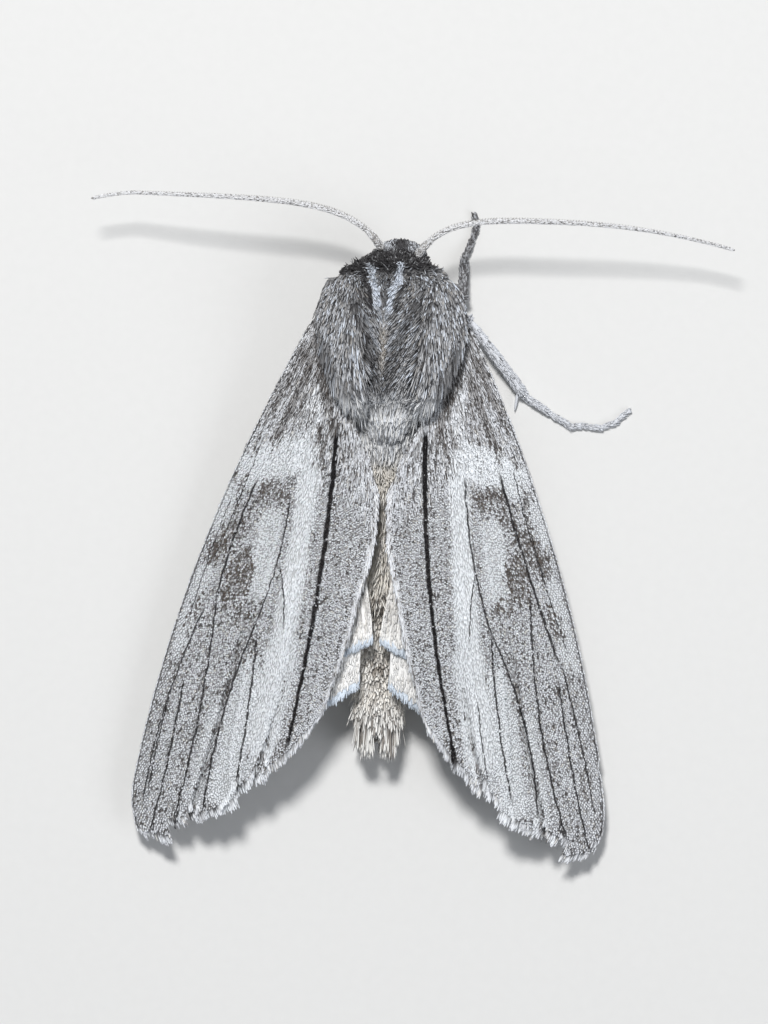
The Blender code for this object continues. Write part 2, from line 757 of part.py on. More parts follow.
def make_palp(name, side):
    points = []
    radii = []
    for i in range(6):
        f = i / 5.0
        points.append((side * blend(0.42, 0.36, f), blend(0.35, -0.40, f ** 0.9), 1.20 + 0.70 * f ** 1.6))
        radii.append(0.26 * (1.0 - 0.45 * f ** 2))
    return tube(name, points, radii, 8, DARK_COAT)


def antenna_point(side, f):
    """Path of a feeler: out of the head, forward, then level to the side."""
    reach = 13.28 if side > 0 else 14.72
    forward = 1.54 if side > 0 else 1.14
    bend = 1.5 if side > 0 else 1.15
    hook = 0.34 if side > 0 else 0.80
    hook_from = 0.84
    x = blend(ANTENNA_ROOT[0], reach, f)
    y = ANTENNA_ROOT[1] - forward * (1.0 - math.exp(-(x - ANTENNA_ROOT[0]) / bend))
    y += hook * (max(0.0, f - hook_from) / (1.0 - hook_from)) ** 1.6
    z = ANTENNA_ROOT[2] + 0.55 * math.sin(math.pi * min(1.0, f * 1.15)) - 0.55 * f * f
    return side * x, y, z


def make_antenna(name, side):
    points = []
    radii = []
    count = 22
    for i in range(count + 1):
        f = (i / count) ** 1.25
        points.append(antenna_point(side, f))
        radius = ANTENNA_RADIUS * (1.18 if i < 2 else 1.0) * (1.0 - 0.55 * smooth(0.80, 1.0, f))
        radii.append(radius)
    return tube(name, points, radii, 7, ANTENNA_SCALES)


def leg_path(joints, steps):
    """Points and radii along a leg's joints, a little thicker at the far end of each length."""
    points = []
    radii = []
    for (a, ra), (b, rb), step_count in zip(joints, joints[1:], steps):
        for k in range(step_count):
            f = k / step_count
            points.append(tuple(Vector(a).lerp(Vector(b), f)))
            radii.append(blend(ra, rb, f) * (0.90 + 0.20 * math.sin(math.pi * min(1.0, 0.15 + f * 0.8))))
    points.append(joints[-1][0])
    radii.append(joints[-1][1] * 0.9)
    return points, radii


def make_leg(name, side, joints, spurs, claw):
    mirrored = [((side * p[0], p[1], p[2]), r) for p, r in joints]
    steps = [2] * (len(joints) - 1)
    points, radii = leg_path(mirrored, steps)
    base = tube(name, points, radii, 8, floor=0.0)
    pieces = []
    for start, end, radius in spurs:
        a = Vector((side * start[0], start[1], start[2]))
        b = Vector((side * end[0], end[1], end[2]))
        path = [tuple(a.lerp(b, f)) for f in (0.0, 0.4, 0.8, 1.0)]
        pieces.append(tube("spur", path, (radius, radius * 0.95, radius * 0.6, radius * 0.2), 6, floor=0.0))
    tip = Vector(mirrored[-1][0])
    heading = (tip - Vector(mirrored[-2][0])).normalized()
    across = heading.cross(Vector((0.0, 0.0, 1.0))).normalized()
    for spread in (-1.0, 1.0):
        path = []
        for f in (0.0, 0.35, 0.7, 1.0):
            p = tip + heading * (claw * (f - 0.35)) + across * (spread * (0.10 + 0.16 * f))
            p.z = max(0.06, tip.z + 0.08 - 0.30 * f * f)
            path.append(tuple(p))
        pieces.append(tube("claw", path, (0.13, 0.12, 0.09, 0.04), 6, floor=0.0))
    fuse(base, pieces)
    base.data.name = name
    base.data.materials.append(LEG_SCALES)
    return base


FRONT_RIGHT = (
    ((1.75, 2.30, 1.10), 0.36),
    ((3.05, 2.10, 1.00), 0.36),
    ((3.08, 1.15, 0.80), 0.32),
    ((3.05, 0.35, 0.42), 0.27),
    ((3.34, -0.45, 0.24), 0.26),
    ((3.52, -1.10, 0.22), 0.25),
    ((3.42, -1.50, 0.20), 0.23),
)
FRONT_LEFT = (
    ((1.75, 2.30, 1.10), 0.36),
    ((2.45, 2.00, 0.95), 0.36),
    ((2.05, 1.05, 0.62), 0.32),
    ((1.50, 1.15, 0.26), 0.26),
    ((1.00, 1.90, 0.22), 0.25),
    ((0.62, 2.80, 0.20), 0.24),
    ((0.35, 3.50, 0.20), 0.23),
)
MIDDLE_RIGHT = (
    ((2.50, 4.30, 0.98), 0.40),
    ((3.38, 3.05, 1.35), 0.38),
    ((4.65, 4.55, 1.05), 0.30),
    ((5.98, 6.22, 0.50), 0.31),
    ((7.07, 6.92, 0.24), 0.26),
    ((8.06, 7.46, 0.22), 0.27),
    ((8.72, 7.42, 0.20), 0.25),
    ((9.34, 7.48, 0.20), 0.25),
    ((9.98, 7.22, 0.20), 0.24),
    ((10.50, 6.74, 0.20), 0.23),
)
MIDDLE_LEFT = (
    ((2.50, 4.30, 0.98), 0.40),
    ((3.20, 4.95, 1.75), 0.38),
    ((3.75, 6.40, 1.20), 0.30),
    ((4.35, 8.00, 0.45), 0.30),
    ((4.70, 9.10, 0.24), 0.26),
    ((5.05, 10.20, 0.22), 0.26),
    ((5.25, 10.95, 0.20), 0.25),
    ((5.45, 11.65, 0.20), 0.24),
    ((5.60, 12.30, 0.20), 0.23),
)
HIND_BOTH = (
    ((2.30, 6.65, 0.86), 0.42),
    ((2.80, 8.50, 1.40), 0.37),
    ((3.05, 10.70, 1.10), 0.30),
    ((3.35, 13.10, 0.50), 0.31),
    ((3.55, 14.60, 0.24), 0.26),
    ((3.70, 15.90, 0.22), 0.26),
    ((3.80, 16.70, 0.20), 0.25),
    ((3.88, 17.40, 0.20), 0.24),
    ((3.95, 18.05, 0.20), 0.23),
)
MIDDLE_RIGHT_SPURS = (
    ((5.75, 6.10, 0.50), (5.50, 6.95, 0.22), 0.17),
    ((5.95, 6.30, 0.40), (5.95, 6.95, 0.16), 0.15),
)
MIDDLE_LEFT_SPURS = (
    ((4.20, 7.90, 0.45), (4.05, 8.75, 0.20), 0.17),
)
HIND_SPURS = (
    ((3.20, 13.00, 0.50), (3.02, 13.85, 0.20), 0.17),
    ((3.06, 11.30, 0.95), (2.80, 12.15, 0.62), 0.16),
)

make_thorax()
make_abdomen()
make_head()
for label, sign in (("left", 1.0), ("right", -1.0)):
    make_eye("eye_" + label, sign)
    make_palp("palp_" + label, sign)
    make_antenna("antenna_" + label, sign)
    wing("forewing_" + label, fore_plan, roof_height, FORE_VEIN_ENDS, FORE_VEIN_STARTS,
         FORE_STATIONS, 9.6, sign, WING_SCALES)
    wing("hindwing_" + label, hind_plan, hind_height, HIND_VEIN_ENDS, HIND_VEIN_STARTS,
         HIND_STATIONS, 7.0, sign, HINDWING_SCALES)
    make_leg("leg_hind_" + label, sign, HIND_BOTH, HIND_SPURS, 0.45)
make_leg("leg_front_left", 1.0, FRONT_LEFT, (), 0.35)
make_leg("leg_front_right", -1.0, FRONT_RIGHT, (), 0.45)
make_leg("leg_middle_left", 1.0, MIDDLE_LEFT, MIDDLE_LEFT_SPURS, 0.45)
make_leg("leg_middle_right", -1.0, MIDDLE_RIGHT, MIDDLE_RIGHT_SPURS, 0.50)

for made in bpy.context.scene.objects:
    for vertex in made.data.vertices:
        vertex.co.x += SHIFT_X * MM
        vertex.co.y += SHIFT_Y * MM
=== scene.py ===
import math

import bpy
import numpy as np
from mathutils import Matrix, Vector
from mathutils.bvhtree import BVHTree


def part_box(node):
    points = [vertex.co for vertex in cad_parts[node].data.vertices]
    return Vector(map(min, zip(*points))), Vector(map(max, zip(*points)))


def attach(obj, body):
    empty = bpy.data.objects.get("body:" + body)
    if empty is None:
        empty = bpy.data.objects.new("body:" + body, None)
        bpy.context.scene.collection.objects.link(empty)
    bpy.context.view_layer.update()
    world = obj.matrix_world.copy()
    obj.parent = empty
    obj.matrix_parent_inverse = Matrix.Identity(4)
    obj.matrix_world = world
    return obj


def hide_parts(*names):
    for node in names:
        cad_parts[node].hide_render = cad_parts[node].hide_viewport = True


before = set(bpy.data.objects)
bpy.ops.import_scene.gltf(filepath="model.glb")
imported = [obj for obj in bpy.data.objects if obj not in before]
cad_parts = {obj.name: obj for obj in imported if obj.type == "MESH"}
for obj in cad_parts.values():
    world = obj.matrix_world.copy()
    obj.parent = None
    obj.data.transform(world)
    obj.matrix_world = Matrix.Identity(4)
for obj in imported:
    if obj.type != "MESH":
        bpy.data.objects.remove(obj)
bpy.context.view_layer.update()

mm = 0.001
sides = (("left", 1.0), ("right", -1.0))

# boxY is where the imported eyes' middle lies; shown is where the dressed eye stands, a little smaller
eye = {"boxY": 0.62, "half": (0.50, 0.62, 0.68), "size": 0.92, "facet": 0.045, "shown": (1.19, 1.06, 2.30)}

# The eyes stand at equal distances from the midline, so their boxes say where the moth is in the frame
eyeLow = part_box("eye_right")[0]
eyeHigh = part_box("eye_left")[1]
frameX = 0.5 * (eyeLow.x + eyeHigh.x) / mm
frameY = 0.5 * (eyeLow.y + eyeHigh.y) / mm - eye["boxY"]


# Small helpers that work on numbers and on arrays alike

def blend(a, b, f):
    return a + (b - a) * f


def ease(low, high, x):
    f = np.clip((x - low) / (high - low), 0.0, 1.0)
    return f * f * (3.0 - 2.0 * f)


def hill(x, middle, width):
    return np.exp(-((x - middle) / width) ** 2)


def unit(v):
    return v / np.maximum(np.linalg.norm(v, axis=-1, keepdims=True), 1e-9)


def bowThrough(points):
    # the square law x(y) through three points, highest power first
    ys = [p[1] for p in points]
    xs = [p[0] for p in points]
    return np.polyfit(ys, xs, len(points) - 1)


# Shader maths: a Wire stands for one socket, a Paint for one material

class Wire:
    def __init__(self, paint, socket):
        self.paint = paint
        self.socket = socket

    def __add__(self, other):
        return self.paint.maths("ADD", self, other)

    def __sub__(self, other):
        return self.paint.maths("SUBTRACT", self, other)

    def __rsub__(self, other):
        return self.paint.maths("SUBTRACT", other, self)

    def __mul__(self, other):
        return self.paint.maths("MULTIPLY", self, other)

    def __truediv__(self, other):
        return self.paint.maths("DIVIDE", self, other)

    __radd__ = __add__
    __rmul__ = __mul__


class Paint:
    def __init__(self, name, roughness=0.6, **settings):
        self.material = bpy.data.materials.new(name)
        self.material.use_nodes = True
        self.tree = self.material.node_tree
        self.shader = self.tree.nodes["Principled BSDF"]
        self.shader.inputs["Roughness"].default_value = roughness
        for key, value in settings.items():
            self.shader.inputs[key.replace("_", " ")].default_value = value

    def put(self, socket, value):
        if isinstance(value, Wire):
            self.tree.links.new(value.socket, socket)
        elif isinstance(value, tuple) and len(value) == 3 and socket.type == "RGBA":
            socket.default_value = (*value, 1.0)
        else:
            socket.default_value = value

    def node(self, kind, settings=None, inputs=None, output=0):
        made = self.tree.nodes.new(kind)
        for key, value in (settings or {}).items():
            setattr(made, key, value)
        for key, value in (inputs or {}).items():
            self.put(made.inputs[key], value)
        return Wire(self, made.outputs[output])

    def maths(self, operation, a, b=0.0):
        return self.node("ShaderNodeMath", {"operation": operation}, {0: a, 1: b})

    def ease(self, low, high, value):
        return self.node("ShaderNodeMapRange", {"interpolation_type": "SMOOTHSTEP"},
                         {"Value": value, "From Min": low, "From Max": high})

    def clamp(self, value):
        return self.node("ShaderNodeClamp", None, {"Value": value})

    def attribute(self, name, output="Fac"):
        return self.node("ShaderNodeAttribute", {"attribute_name": name}, None, output)

    def split(self, vector):
        parts = self.node("ShaderNodeSeparateXYZ", None, {"Vector": vector})
        made = parts.socket.node
        return tuple(Wire(self, made.outputs[i]) for i in range(3))

    def join(self, x, y, z=0.0):
        return self.node("ShaderNodeCombineXYZ", None, {0: x, 1: y, 2: z})

    def mix(self, a, b, factor):
        return self.node("ShaderNodeMix", {"data_type": "RGBA"}, {0: factor, 6: a, 7: b}, 2)

    def most(self, a, b):
        return self.maths("MAXIMUM", a, b)

    def noise(self, vector, scale, detail=2.0):
        return self.node("ShaderNodeTexNoise", None, {"Vector": vector, "Scale": scale, "Detail": detail})

    def cells(self, vector, output="Distance", scale=1.0):
        return self.node("ShaderNodeTexVoronoi", None, {"Vector": vector, "Scale": scale}, output)

    def stroke(self, x, y, start, end, halfWidth, soft):
        # 1 along a straight brush stroke, falling to 0 over the soft edge
        lengthX = end[0] - start[0]
        lengthY = end[1] - start[1]
        square = lengthX ** 2 + lengthY ** 2
        along = self.clamp(((x - start[0]) * lengthX + (y - start[1]) * lengthY) / square)
        offX = x - start[0] - along * lengthX
        offY = y - start[1] - along * lengthY
        away = self.maths("SQRT", offX * offX + offY * offY)
        return 1.0 - self.ease(halfWidth, halfWidth + soft, away)

    def strokes(self, x, y, table, most=0.0):
        # the strongest of several strokes: (start, end, half width, soft edge, strength)
        for start, end, halfWidth, soft, strength in table:
            most = self.most(self.stroke(x, y, start, end, halfWidth, soft) * strength, most)
        return most

    def spot(self, x, y, middle, halfX, halfY, lean=0.0):
        # 1 in the middle of a leaning oval, falling to 0 at its edge
        offX = x - middle[0] - (y - middle[1]) * lean
        offY = y - middle[1]
        square = offX * offX / halfX ** 2 + offY * offY / halfY ** 2
        return 1.0 - self.ease(0.15, 1.0, square)

    def curve(self, x, y, points, halfWidth, soft):
        # 1 along a gently bowed line through three points, between its first and last y
        line = bowThrough(points)
        middle = line[-1]
        power = y
        for factor in line[-2::-1]:
            middle = power * factor + middle
            power = power * y
        away = self.maths("ABSOLUTE", x - middle)
        ends = self.ease(points[0][1] - 0.3, points[0][1] + 0.3, y)
        ends = ends * (1.0 - self.ease(points[-1][1] - 0.3, points[-1][1] + 0.5, y))
        return (1.0 - self.ease(halfWidth, halfWidth + soft, away)) * ends

    def finish(self, colour, height=None, depth=0.0, strength=0.0):
        self.put(self.shader.inputs["Base Color"], colour)
        if height is not None:
            facts = {"Height": height, "Distance": depth, "Strength": strength}
            self.put(self.shader.inputs["Normal"], self.node("ShaderNodeBump", None, facts))
        return self.material


# Meshes from arrays

def makePiece(name, points, faceSets, material, nodes=(), values=None, vectors=None, uv=None):
    # points in the moth's millimetres; faceSets holds one array of corners for each number of sides
    mesh = bpy.data.meshes.new(name)
    points = np.asarray(points, float).reshape(-1, 3)
    placed = (points + (frameX, frameY, 0.0)) * mm
    corners = np.concatenate([np.asarray(f).ravel() for f in faceSets]).astype(np.int32)
    sizes = np.concatenate([np.full(len(f), np.asarray(f).shape[1]) for f in faceSets])
    starts = np.concatenate([[0], np.cumsum(sizes)[:-1]]).astype(np.int32)
    mesh.vertices.add(len(points))
    mesh.vertices.foreach_set("co", placed.astype(np.float32).ravel())
    mesh.loops.add(len(corners))
    mesh.loops.foreach_set("vertex_index", corners)
    mesh.polygons.add(len(sizes))
    mesh.polygons.foreach_set("loop_start", starts)
    mesh.polygons.foreach_set("use_smooth", np.ones(len(sizes), bool))
    mesh.update(calc_edges=True)
    for key, value in (values or {}).items():
        layer = mesh.attributes.new(key, "FLOAT", "POINT")
        layer.data.foreach_set("value", np.asarray(value, np.float32).ravel())
    for key, value in (vectors or {}).items():
        layer = mesh.attributes.new(key, "FLOAT_VECTOR", "POINT")
        layer.data.foreach_set("vector", np.asarray(value, np.float32).ravel())
    if uv is not None:
        layer = mesh.uv_layers.new(name="OFBake")
        perCorner = uv if len(uv) == len(corners) else np.asarray(uv)[corners]
        layer.data.foreach_set("uv", np.asarray(perCorner, np.float32).ravel())
    mesh.materials.append(material)
    made = bpy.data.objects.new(name, mesh)
    bpy.context.scene.collection.objects.link(made)
    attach(made, "root")
    if nodes:
        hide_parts(*nodes)


def loftPart(rings):
    # a closed skin over a row of rings: its points, its quads and the triangles of its two ends
    rings = np.asarray(rings, float)
    count, corners, _ = rings.shape
    points = np.concatenate([rings.reshape(-1, 3), rings[[0, -1]].mean(1)])
    i, j = np.meshgrid(np.arange(count - 1), np.arange(corners), indexing="ij")
    k = (j + 1) % corners
    quads = np.stack([i * corners + j, (i + 1) * corners + j, (i + 1) * corners + k, i * corners + k], -1)
    j = np.arange(corners)
    k = (j + 1) % corners
    final = (count - 1) * corners
    first = np.stack([j, k, np.full(corners, count * corners)], -1)
    last = np.stack([final + k, final + j, np.full(corners, count * corners + 1)], -1)
    return points, quads.reshape(-1, 4), np.concatenate([first, last])


def tubeMesh(centres, radii, corners, flatness=1.0):
    # a closed round bar along a path
    centres = np.asarray(centres, float)
    count = len(centres)
    along = unit(np.gradient(centres, axis=0))
    side = np.cross(along, (0.0, 0.0, 1.0))
    weak = np.linalg.norm(side, axis=1) < 0.2
    side[weak] = np.cross(along[weak], (0.0, 1.0, 0.0))
    side = unit(side)
    lift = np.cross(side, along)
    angle = 2.0 * np.pi * np.arange(corners) / corners
    radii = np.broadcast_to(np.asarray(radii, float), (count,))
    return loftPart(centres[:, None]
                    + side[:, None] * (radii[:, None, None] * np.cos(angle)[None, :, None])
                    + lift[:, None] * (radii[:, None, None] * flatness * np.sin(angle)[None, :, None]))


def gatherMeshes(parts):
    # several (points, quads, triangles) as one
    starts = np.cumsum([0] + [len(p) for p, _, _ in parts])
    points = np.concatenate([p for p, _, _ in parts])
    quads = np.concatenate([q + start for (_, q, _), start in zip(parts, starts)])
    triangles = np.concatenate([t + start for (_, _, t), start in zip(parts, starts)])
    return points, quads, triangles


def sheetUv(s, t):
    # a wing's own unwrap: its upper face fills the left half of the map
    return np.stack([0.02 + 0.46 * t, 0.02 + 0.96 * s], -1)


def seeded(first, sign):
    # a fixed source of chance for each side
    return np.random.default_rng(first if sign > 0 else first + 1)


def swayOf(rng, count, aside, ahead=0.0, drawn=0.0):
    # how far each tuft strays from the lie, to the side and along
    across = drawn + rng.normal(0.0, aside, count)
    along = rng.normal(0.0, ahead, count) if ahead else np.zeros(count)
    return np.stack([across, along, np.zeros(count)], -1)


# Tufts: each is a thin three-sided blade with a pointed tip, closed all round

tuftShape = {
    3: ((0.0, 0.55), (0.78, 1.0), (1.0, 0.0)),
    4: ((0.0, 0.50), (0.42, 0.95), (0.88, 0.88), (1.0, 0.0)),
    5: ((0.0, 0.45), (0.28, 0.85), (0.58, 1.0), (0.88, 0.72), (1.0, 0.0)),
}


def tuftPaths(roots, normals, flows, lengths, lifts, stations, tree=None, sink=0.06, power=1.4, free=False):
    # the middle line of each tuft: rooted under the skin, lying along the flow and rising to its tip;
    # free tufts keep their own direction instead of the skin's lie
    if free:
        flows = unit(flows)
    else:
        flows = unit(flows - normals * np.sum(flows * normals, axis=1, keepdims=True))
    steps = np.array([f for f, _ in tuftShape[stations]])
    lengths = np.broadcast_to(lengths, (len(roots),))
    lifts = np.broadcast_to(lifts, (len(roots),))
    paths = np.empty((len(roots), stations, 3))
    ups = np.empty((len(roots), stations, 3))
    if tree is None:
        for k, f in enumerate(steps):
            rise = lifts * f ** power - (sink if k == 0 else 0.0)
            paths[:, k] = roots + flows * (lengths * f)[:, None] + normals * rise[:, None]
            ups[:, k] = normals
        return paths, ups
    for n in range(len(roots)):
        at = Vector(roots[n])
        normal = Vector(normals[n])
        heading = Vector(flows[n])
        paths[n, 0] = at - normal * sink
        ups[n, 0] = normal
        for k in range(1, stations):
            step = (steps[k] - steps[k - 1]) * lengths[n]
            aim = at + heading * step
            below, turned, _, _ = tree.ray_cast(aim + normal * 0.7, -normal, 1.6)
            if below is not None and (aim - below).dot(normal) < 0.25:
                at = below
                normal = (normal + turned * 1.5).normalized()
                heading = (heading - normal * heading.dot(normal)).normalized()
            else:
                at = aim
            paths[n, k] = at + normal * (lifts[n] * steps[k] ** power)
            ups[n, k] = normal
    return paths, ups


def tuftMesh(paths, ups, widths, thickness, rootUv, tints, rootShare=0.35, mirrored=False):
    # arrays for makePiece from the tufts' middle lines; place says where the markings are read,
    # between each point's own place (rootShare 0) and its tuft's root (rootShare 1)
    count, stations, _ = paths.shape
    shape = np.array([w for _, w in tuftShape[stations]])
    along = np.array([f for f, _ in tuftShape[stations]])
    heading = unit(np.gradient(paths, axis=1))
    side = unit(np.cross(heading, ups))
    lift = np.cross(side, heading)
    widths = np.broadcast_to(widths, (count,))
    half = 0.5 * widths[:, None, None] * shape[None, :, None]
    thick = thickness * (0.5 + 0.5 * shape[None, :, None])
    rings = np.stack([paths - side * half, paths + side * half, paths + lift * thick], axis=2)[:, :-1]
    rings = rings.reshape(count, -1, 3)
    points = np.concatenate([rings, paths[:, -1:]], axis=1)
    each = points.shape[1]
    faces = []
    for i in range(stations - 2):
        for j in range(3):
            k = (j + 1) % 3
            faces.append((i * 3 + j, i * 3 + k, (i + 1) * 3 + k))
            faces.append((i * 3 + j, (i + 1) * 3 + k, (i + 1) * 3 + j))
    last = (stations - 2) * 3
    for j in range(3):
        faces.append((last + j, last + (j + 1) % 3, each - 1))
    faces.append((2, 1, 0))
    triangles = np.asarray(faces)[None] + (np.arange(count) * each)[:, None, None]
    spot = np.array([(s, a) for a in along[:-1] for s in (-1.0, 1.0, 0.0)] + [(0.0, 1.0)])
    spot = spot * (0.0015, 0.003) - (0.0, 0.0015)
    uv = rootUv[:, None, :] + spot[None]
    alongEach = np.concatenate([np.repeat(along[:-1], 3), [1.0]])
    values = {"tint": np.repeat(tints, each), "along": np.tile(alongEach, count)}
    place = blend(points, paths[:, :1], rootShare).reshape(-1, 3)
    if mirrored:
        place[:, 0] = np.abs(place[:, 0])
    uv = np.clip(uv.reshape(-1, 2), 0.0, 1.0)
    return points.reshape(-1, 3), triangles.reshape(-1, 3), values, {"place": place}, uv


def makeCoat(name, paths, ups, widths, thickness, rootUv, tints, material,
             rootShare=0.35, mirrored=False):
    points, triangles, values, vectors, uv = tuftMesh(
        paths, ups, widths, thickness, rootUv, tints, rootShare, mirrored)
    print("  ", name, len(paths), "tufts,", len(triangles), "triangles")
    makePiece(name, points, [triangles], material, (), values, vectors, uv)


# The wings' plan and height, from the same sizes as the solids

wingPlan = {
    "hingeX": 3.35, "hingeY": 3.4, "apexY": 26.7, "innerStartY": 9.3, "tornusY": 20.4,
    "hindHinge": (2.75, 6.7), "hindApex": (7.0, 20.2), "hindInner": (1.25, 9.2), "hindAnal": (0.65, 19.2),
    "hindDrop": 0.96, "sheetTop": 0.15, "sheetBottom": -0.02, "hem": 0.965,
    "costaReach": 12.05, "costaBow": 4.80, "tipRounding": 1.15,
}

# The closed wings' roof: heights of its outer edge and its ridge, and how far each rises or falls
roof = {
    "edgeFront": 2.45, "edgeBack": 1.30, "edgeFall": 0.30,
    "ridge": 3.50, "behindShoulders": 0.65, "overAbdomen": 0.45, "rearFall": 0.62, "tipFall": 1.25,
}


def foreCostaX(y):
    f = (y - wingPlan["hingeY"]) / (wingPlan["apexY"] - wingPlan["hingeY"])
    tip = np.maximum(0.0, (f - 0.86) / 0.14)
    rounding = wingPlan["tipRounding"] * tip ** 2.6
    return wingPlan["hingeX"] + wingPlan["costaReach"] * f - wingPlan["costaBow"] * f * f - rounding


def foreInnerX(y):
    drawnIn = 0.24 * ease(12.6, 15.6, y) * (1.0 - 0.5 * ease(18.8, 20.4, y))
    return 0.32 + np.where(y > 11.3, 0.022, 0.10) * (y - 11.3) ** 2 + drawnIn


def pair(x, y):
    return np.stack(np.broadcast_arrays(x, y), axis=-1)


def foreBase(f):
    f = np.asarray(f)[..., None]
    a = np.array((wingPlan["hingeX"], wingPlan["hingeY"]))
    b = np.array((2.2, 6.2))
    c = np.array((foreInnerX(wingPlan["innerStartY"]), wingPlan["innerStartY"]))
    return a * (1 - f) ** 2 + b * (2 * f * (1 - f)) + c * f * f


rootEdge = foreBase(np.linspace(0.0, 1.0, 61))


def rootEdgeX(y):
    return np.interp(y, rootEdge[:, 1], rootEdge[:, 0])


def marginStep(t, place, before, beforeReach, after, afterReach):
    # where one folded panel of the wing ends short of the next
    past = ease(place - 0.006, place + 0.006, t)
    rising = before * ease(place - beforeReach, place, t) * (1.0 - past)
    return rising - after * (1.0 - ease(place, place + afterReach, t)) * past


def foreOuter(t):
    t = np.asarray(t)[..., None]
    a = np.array((foreCostaX(wingPlan["apexY"]), wingPlan["apexY"]))
    c = np.array((foreInnerX(wingPlan["tornusY"]), wingPlan["tornusY"]))
    bow = 1.13 * np.maximum(0.0, np.sin(np.pi * np.clip(t, 0.0, 1.0) ** 0.8)) ** 0.7
    bow = bow + marginStep(t, 0.10, 0.36, 0.08, 0.44, 0.26) + marginStep(t, 0.44, 0.12, 0.12, 0.28, 0.18)
    bow = bow + marginStep(t, 0.62, 0.03, 0.06, 0.12, 0.12)
    return a * (1 - t) + c * t + np.array((-0.65, 0.76)) * bow


def forePlan(s, t):
    s, t = np.broadcast_arrays(np.asarray(s, float), np.asarray(t, float))
    costaY = blend(wingPlan["hingeY"], wingPlan["apexY"], s)
    innerY = blend(wingPlan["innerStartY"], wingPlan["tornusY"], s)
    costa = pair(foreCostaX(costaY), costaY)
    inner = pair(foreInnerX(innerY), innerY)
    u = s[..., None]
    v = t[..., None]
    corners = (foreBase(0.0) * (1 - u) * (1 - v) + foreBase(1.0) * (1 - u) * v
               + foreOuter(0.0) * u * (1 - v) + foreOuter(1.0) * u * v)
    return costa * (1 - v) + inner * v + foreBase(t ** 1.8) * (1 - u) + foreOuter(t) * u - corners


def roofHeight(x, y):
    front = foreCostaX(np.minimum(y, wingPlan["apexY"]))
    back = np.minimum(np.where(y > 11.3, foreInnerX(y), 0.32), 4.4)
    q = np.clip((front - np.abs(x)) / (front - back), 0.0, 1.0)
    low = blend(roof["edgeFront"], roof["edgeBack"], ease(wingPlan["hingeY"] - 2.0, 15.0, y))
    low = low - roof["edgeFall"] * ease(15.0, 26.7, y)
    high = roof["ridge"] + roof["behindShoulders"] * ease(4.6, 9.0, y)
    high = high + roof["overAbdomen"] * ease(8.6, 12.5, y)
    high = high - roof["rearFall"] * ease(15.5, 20.8, y) - roof["tipFall"] * ease(19.5, 27.0, y)
    return low + (high - low) * (1.0 - (1.0 - q) ** 1.5)


def hindPlan(s, t):
    s, t = np.broadcast_arrays(np.asarray(s, float), np.asarray(t, float))
    names = ("hindHinge", "hindApex", "hindInner", "hindAnal")
    hinge, apex, inner0, anal = (np.array(wingPlan[name]) for name in names)
    y = blend(hinge[1], apex[1], s)
    costa = pair(blend(hinge[0], apex[0], s ** 0.8), y)
    innerY = blend(inner0[1], anal[1], s)
    lap = 0.42 * ease(13.4, 16.9, innerY) * (1.0 - ease(16.9, 17.6, innerY))
    inner = pair(blend(inner0[0], anal[0], ease(inner0[1], 15.0, innerY)) - lap, innerY)
    u = s[..., None]
    v = t[..., None]
    bow = 1.25 * np.maximum(0.0, np.sin(np.pi * t ** 0.9)) ** 0.9
    outer = apex * (1 - v) + anal * v + np.array((0.12, 1.0)) * bow[..., None]
    base = hinge * (1 - v) + inner0 * v
    corners = hinge * (1 - u) * (1 - v) + inner0 * (1 - u) * v + apex * u * (1 - v) + anal * u * v
    return costa * (1 - v) + inner * v + base * (1 - u) + outer * u - corners


# Lines and smudges on the forewings, as seen on this moth: a line is (points from root to margin,
# half width), and a smudge is (middle, half width, half length, lean, strength)

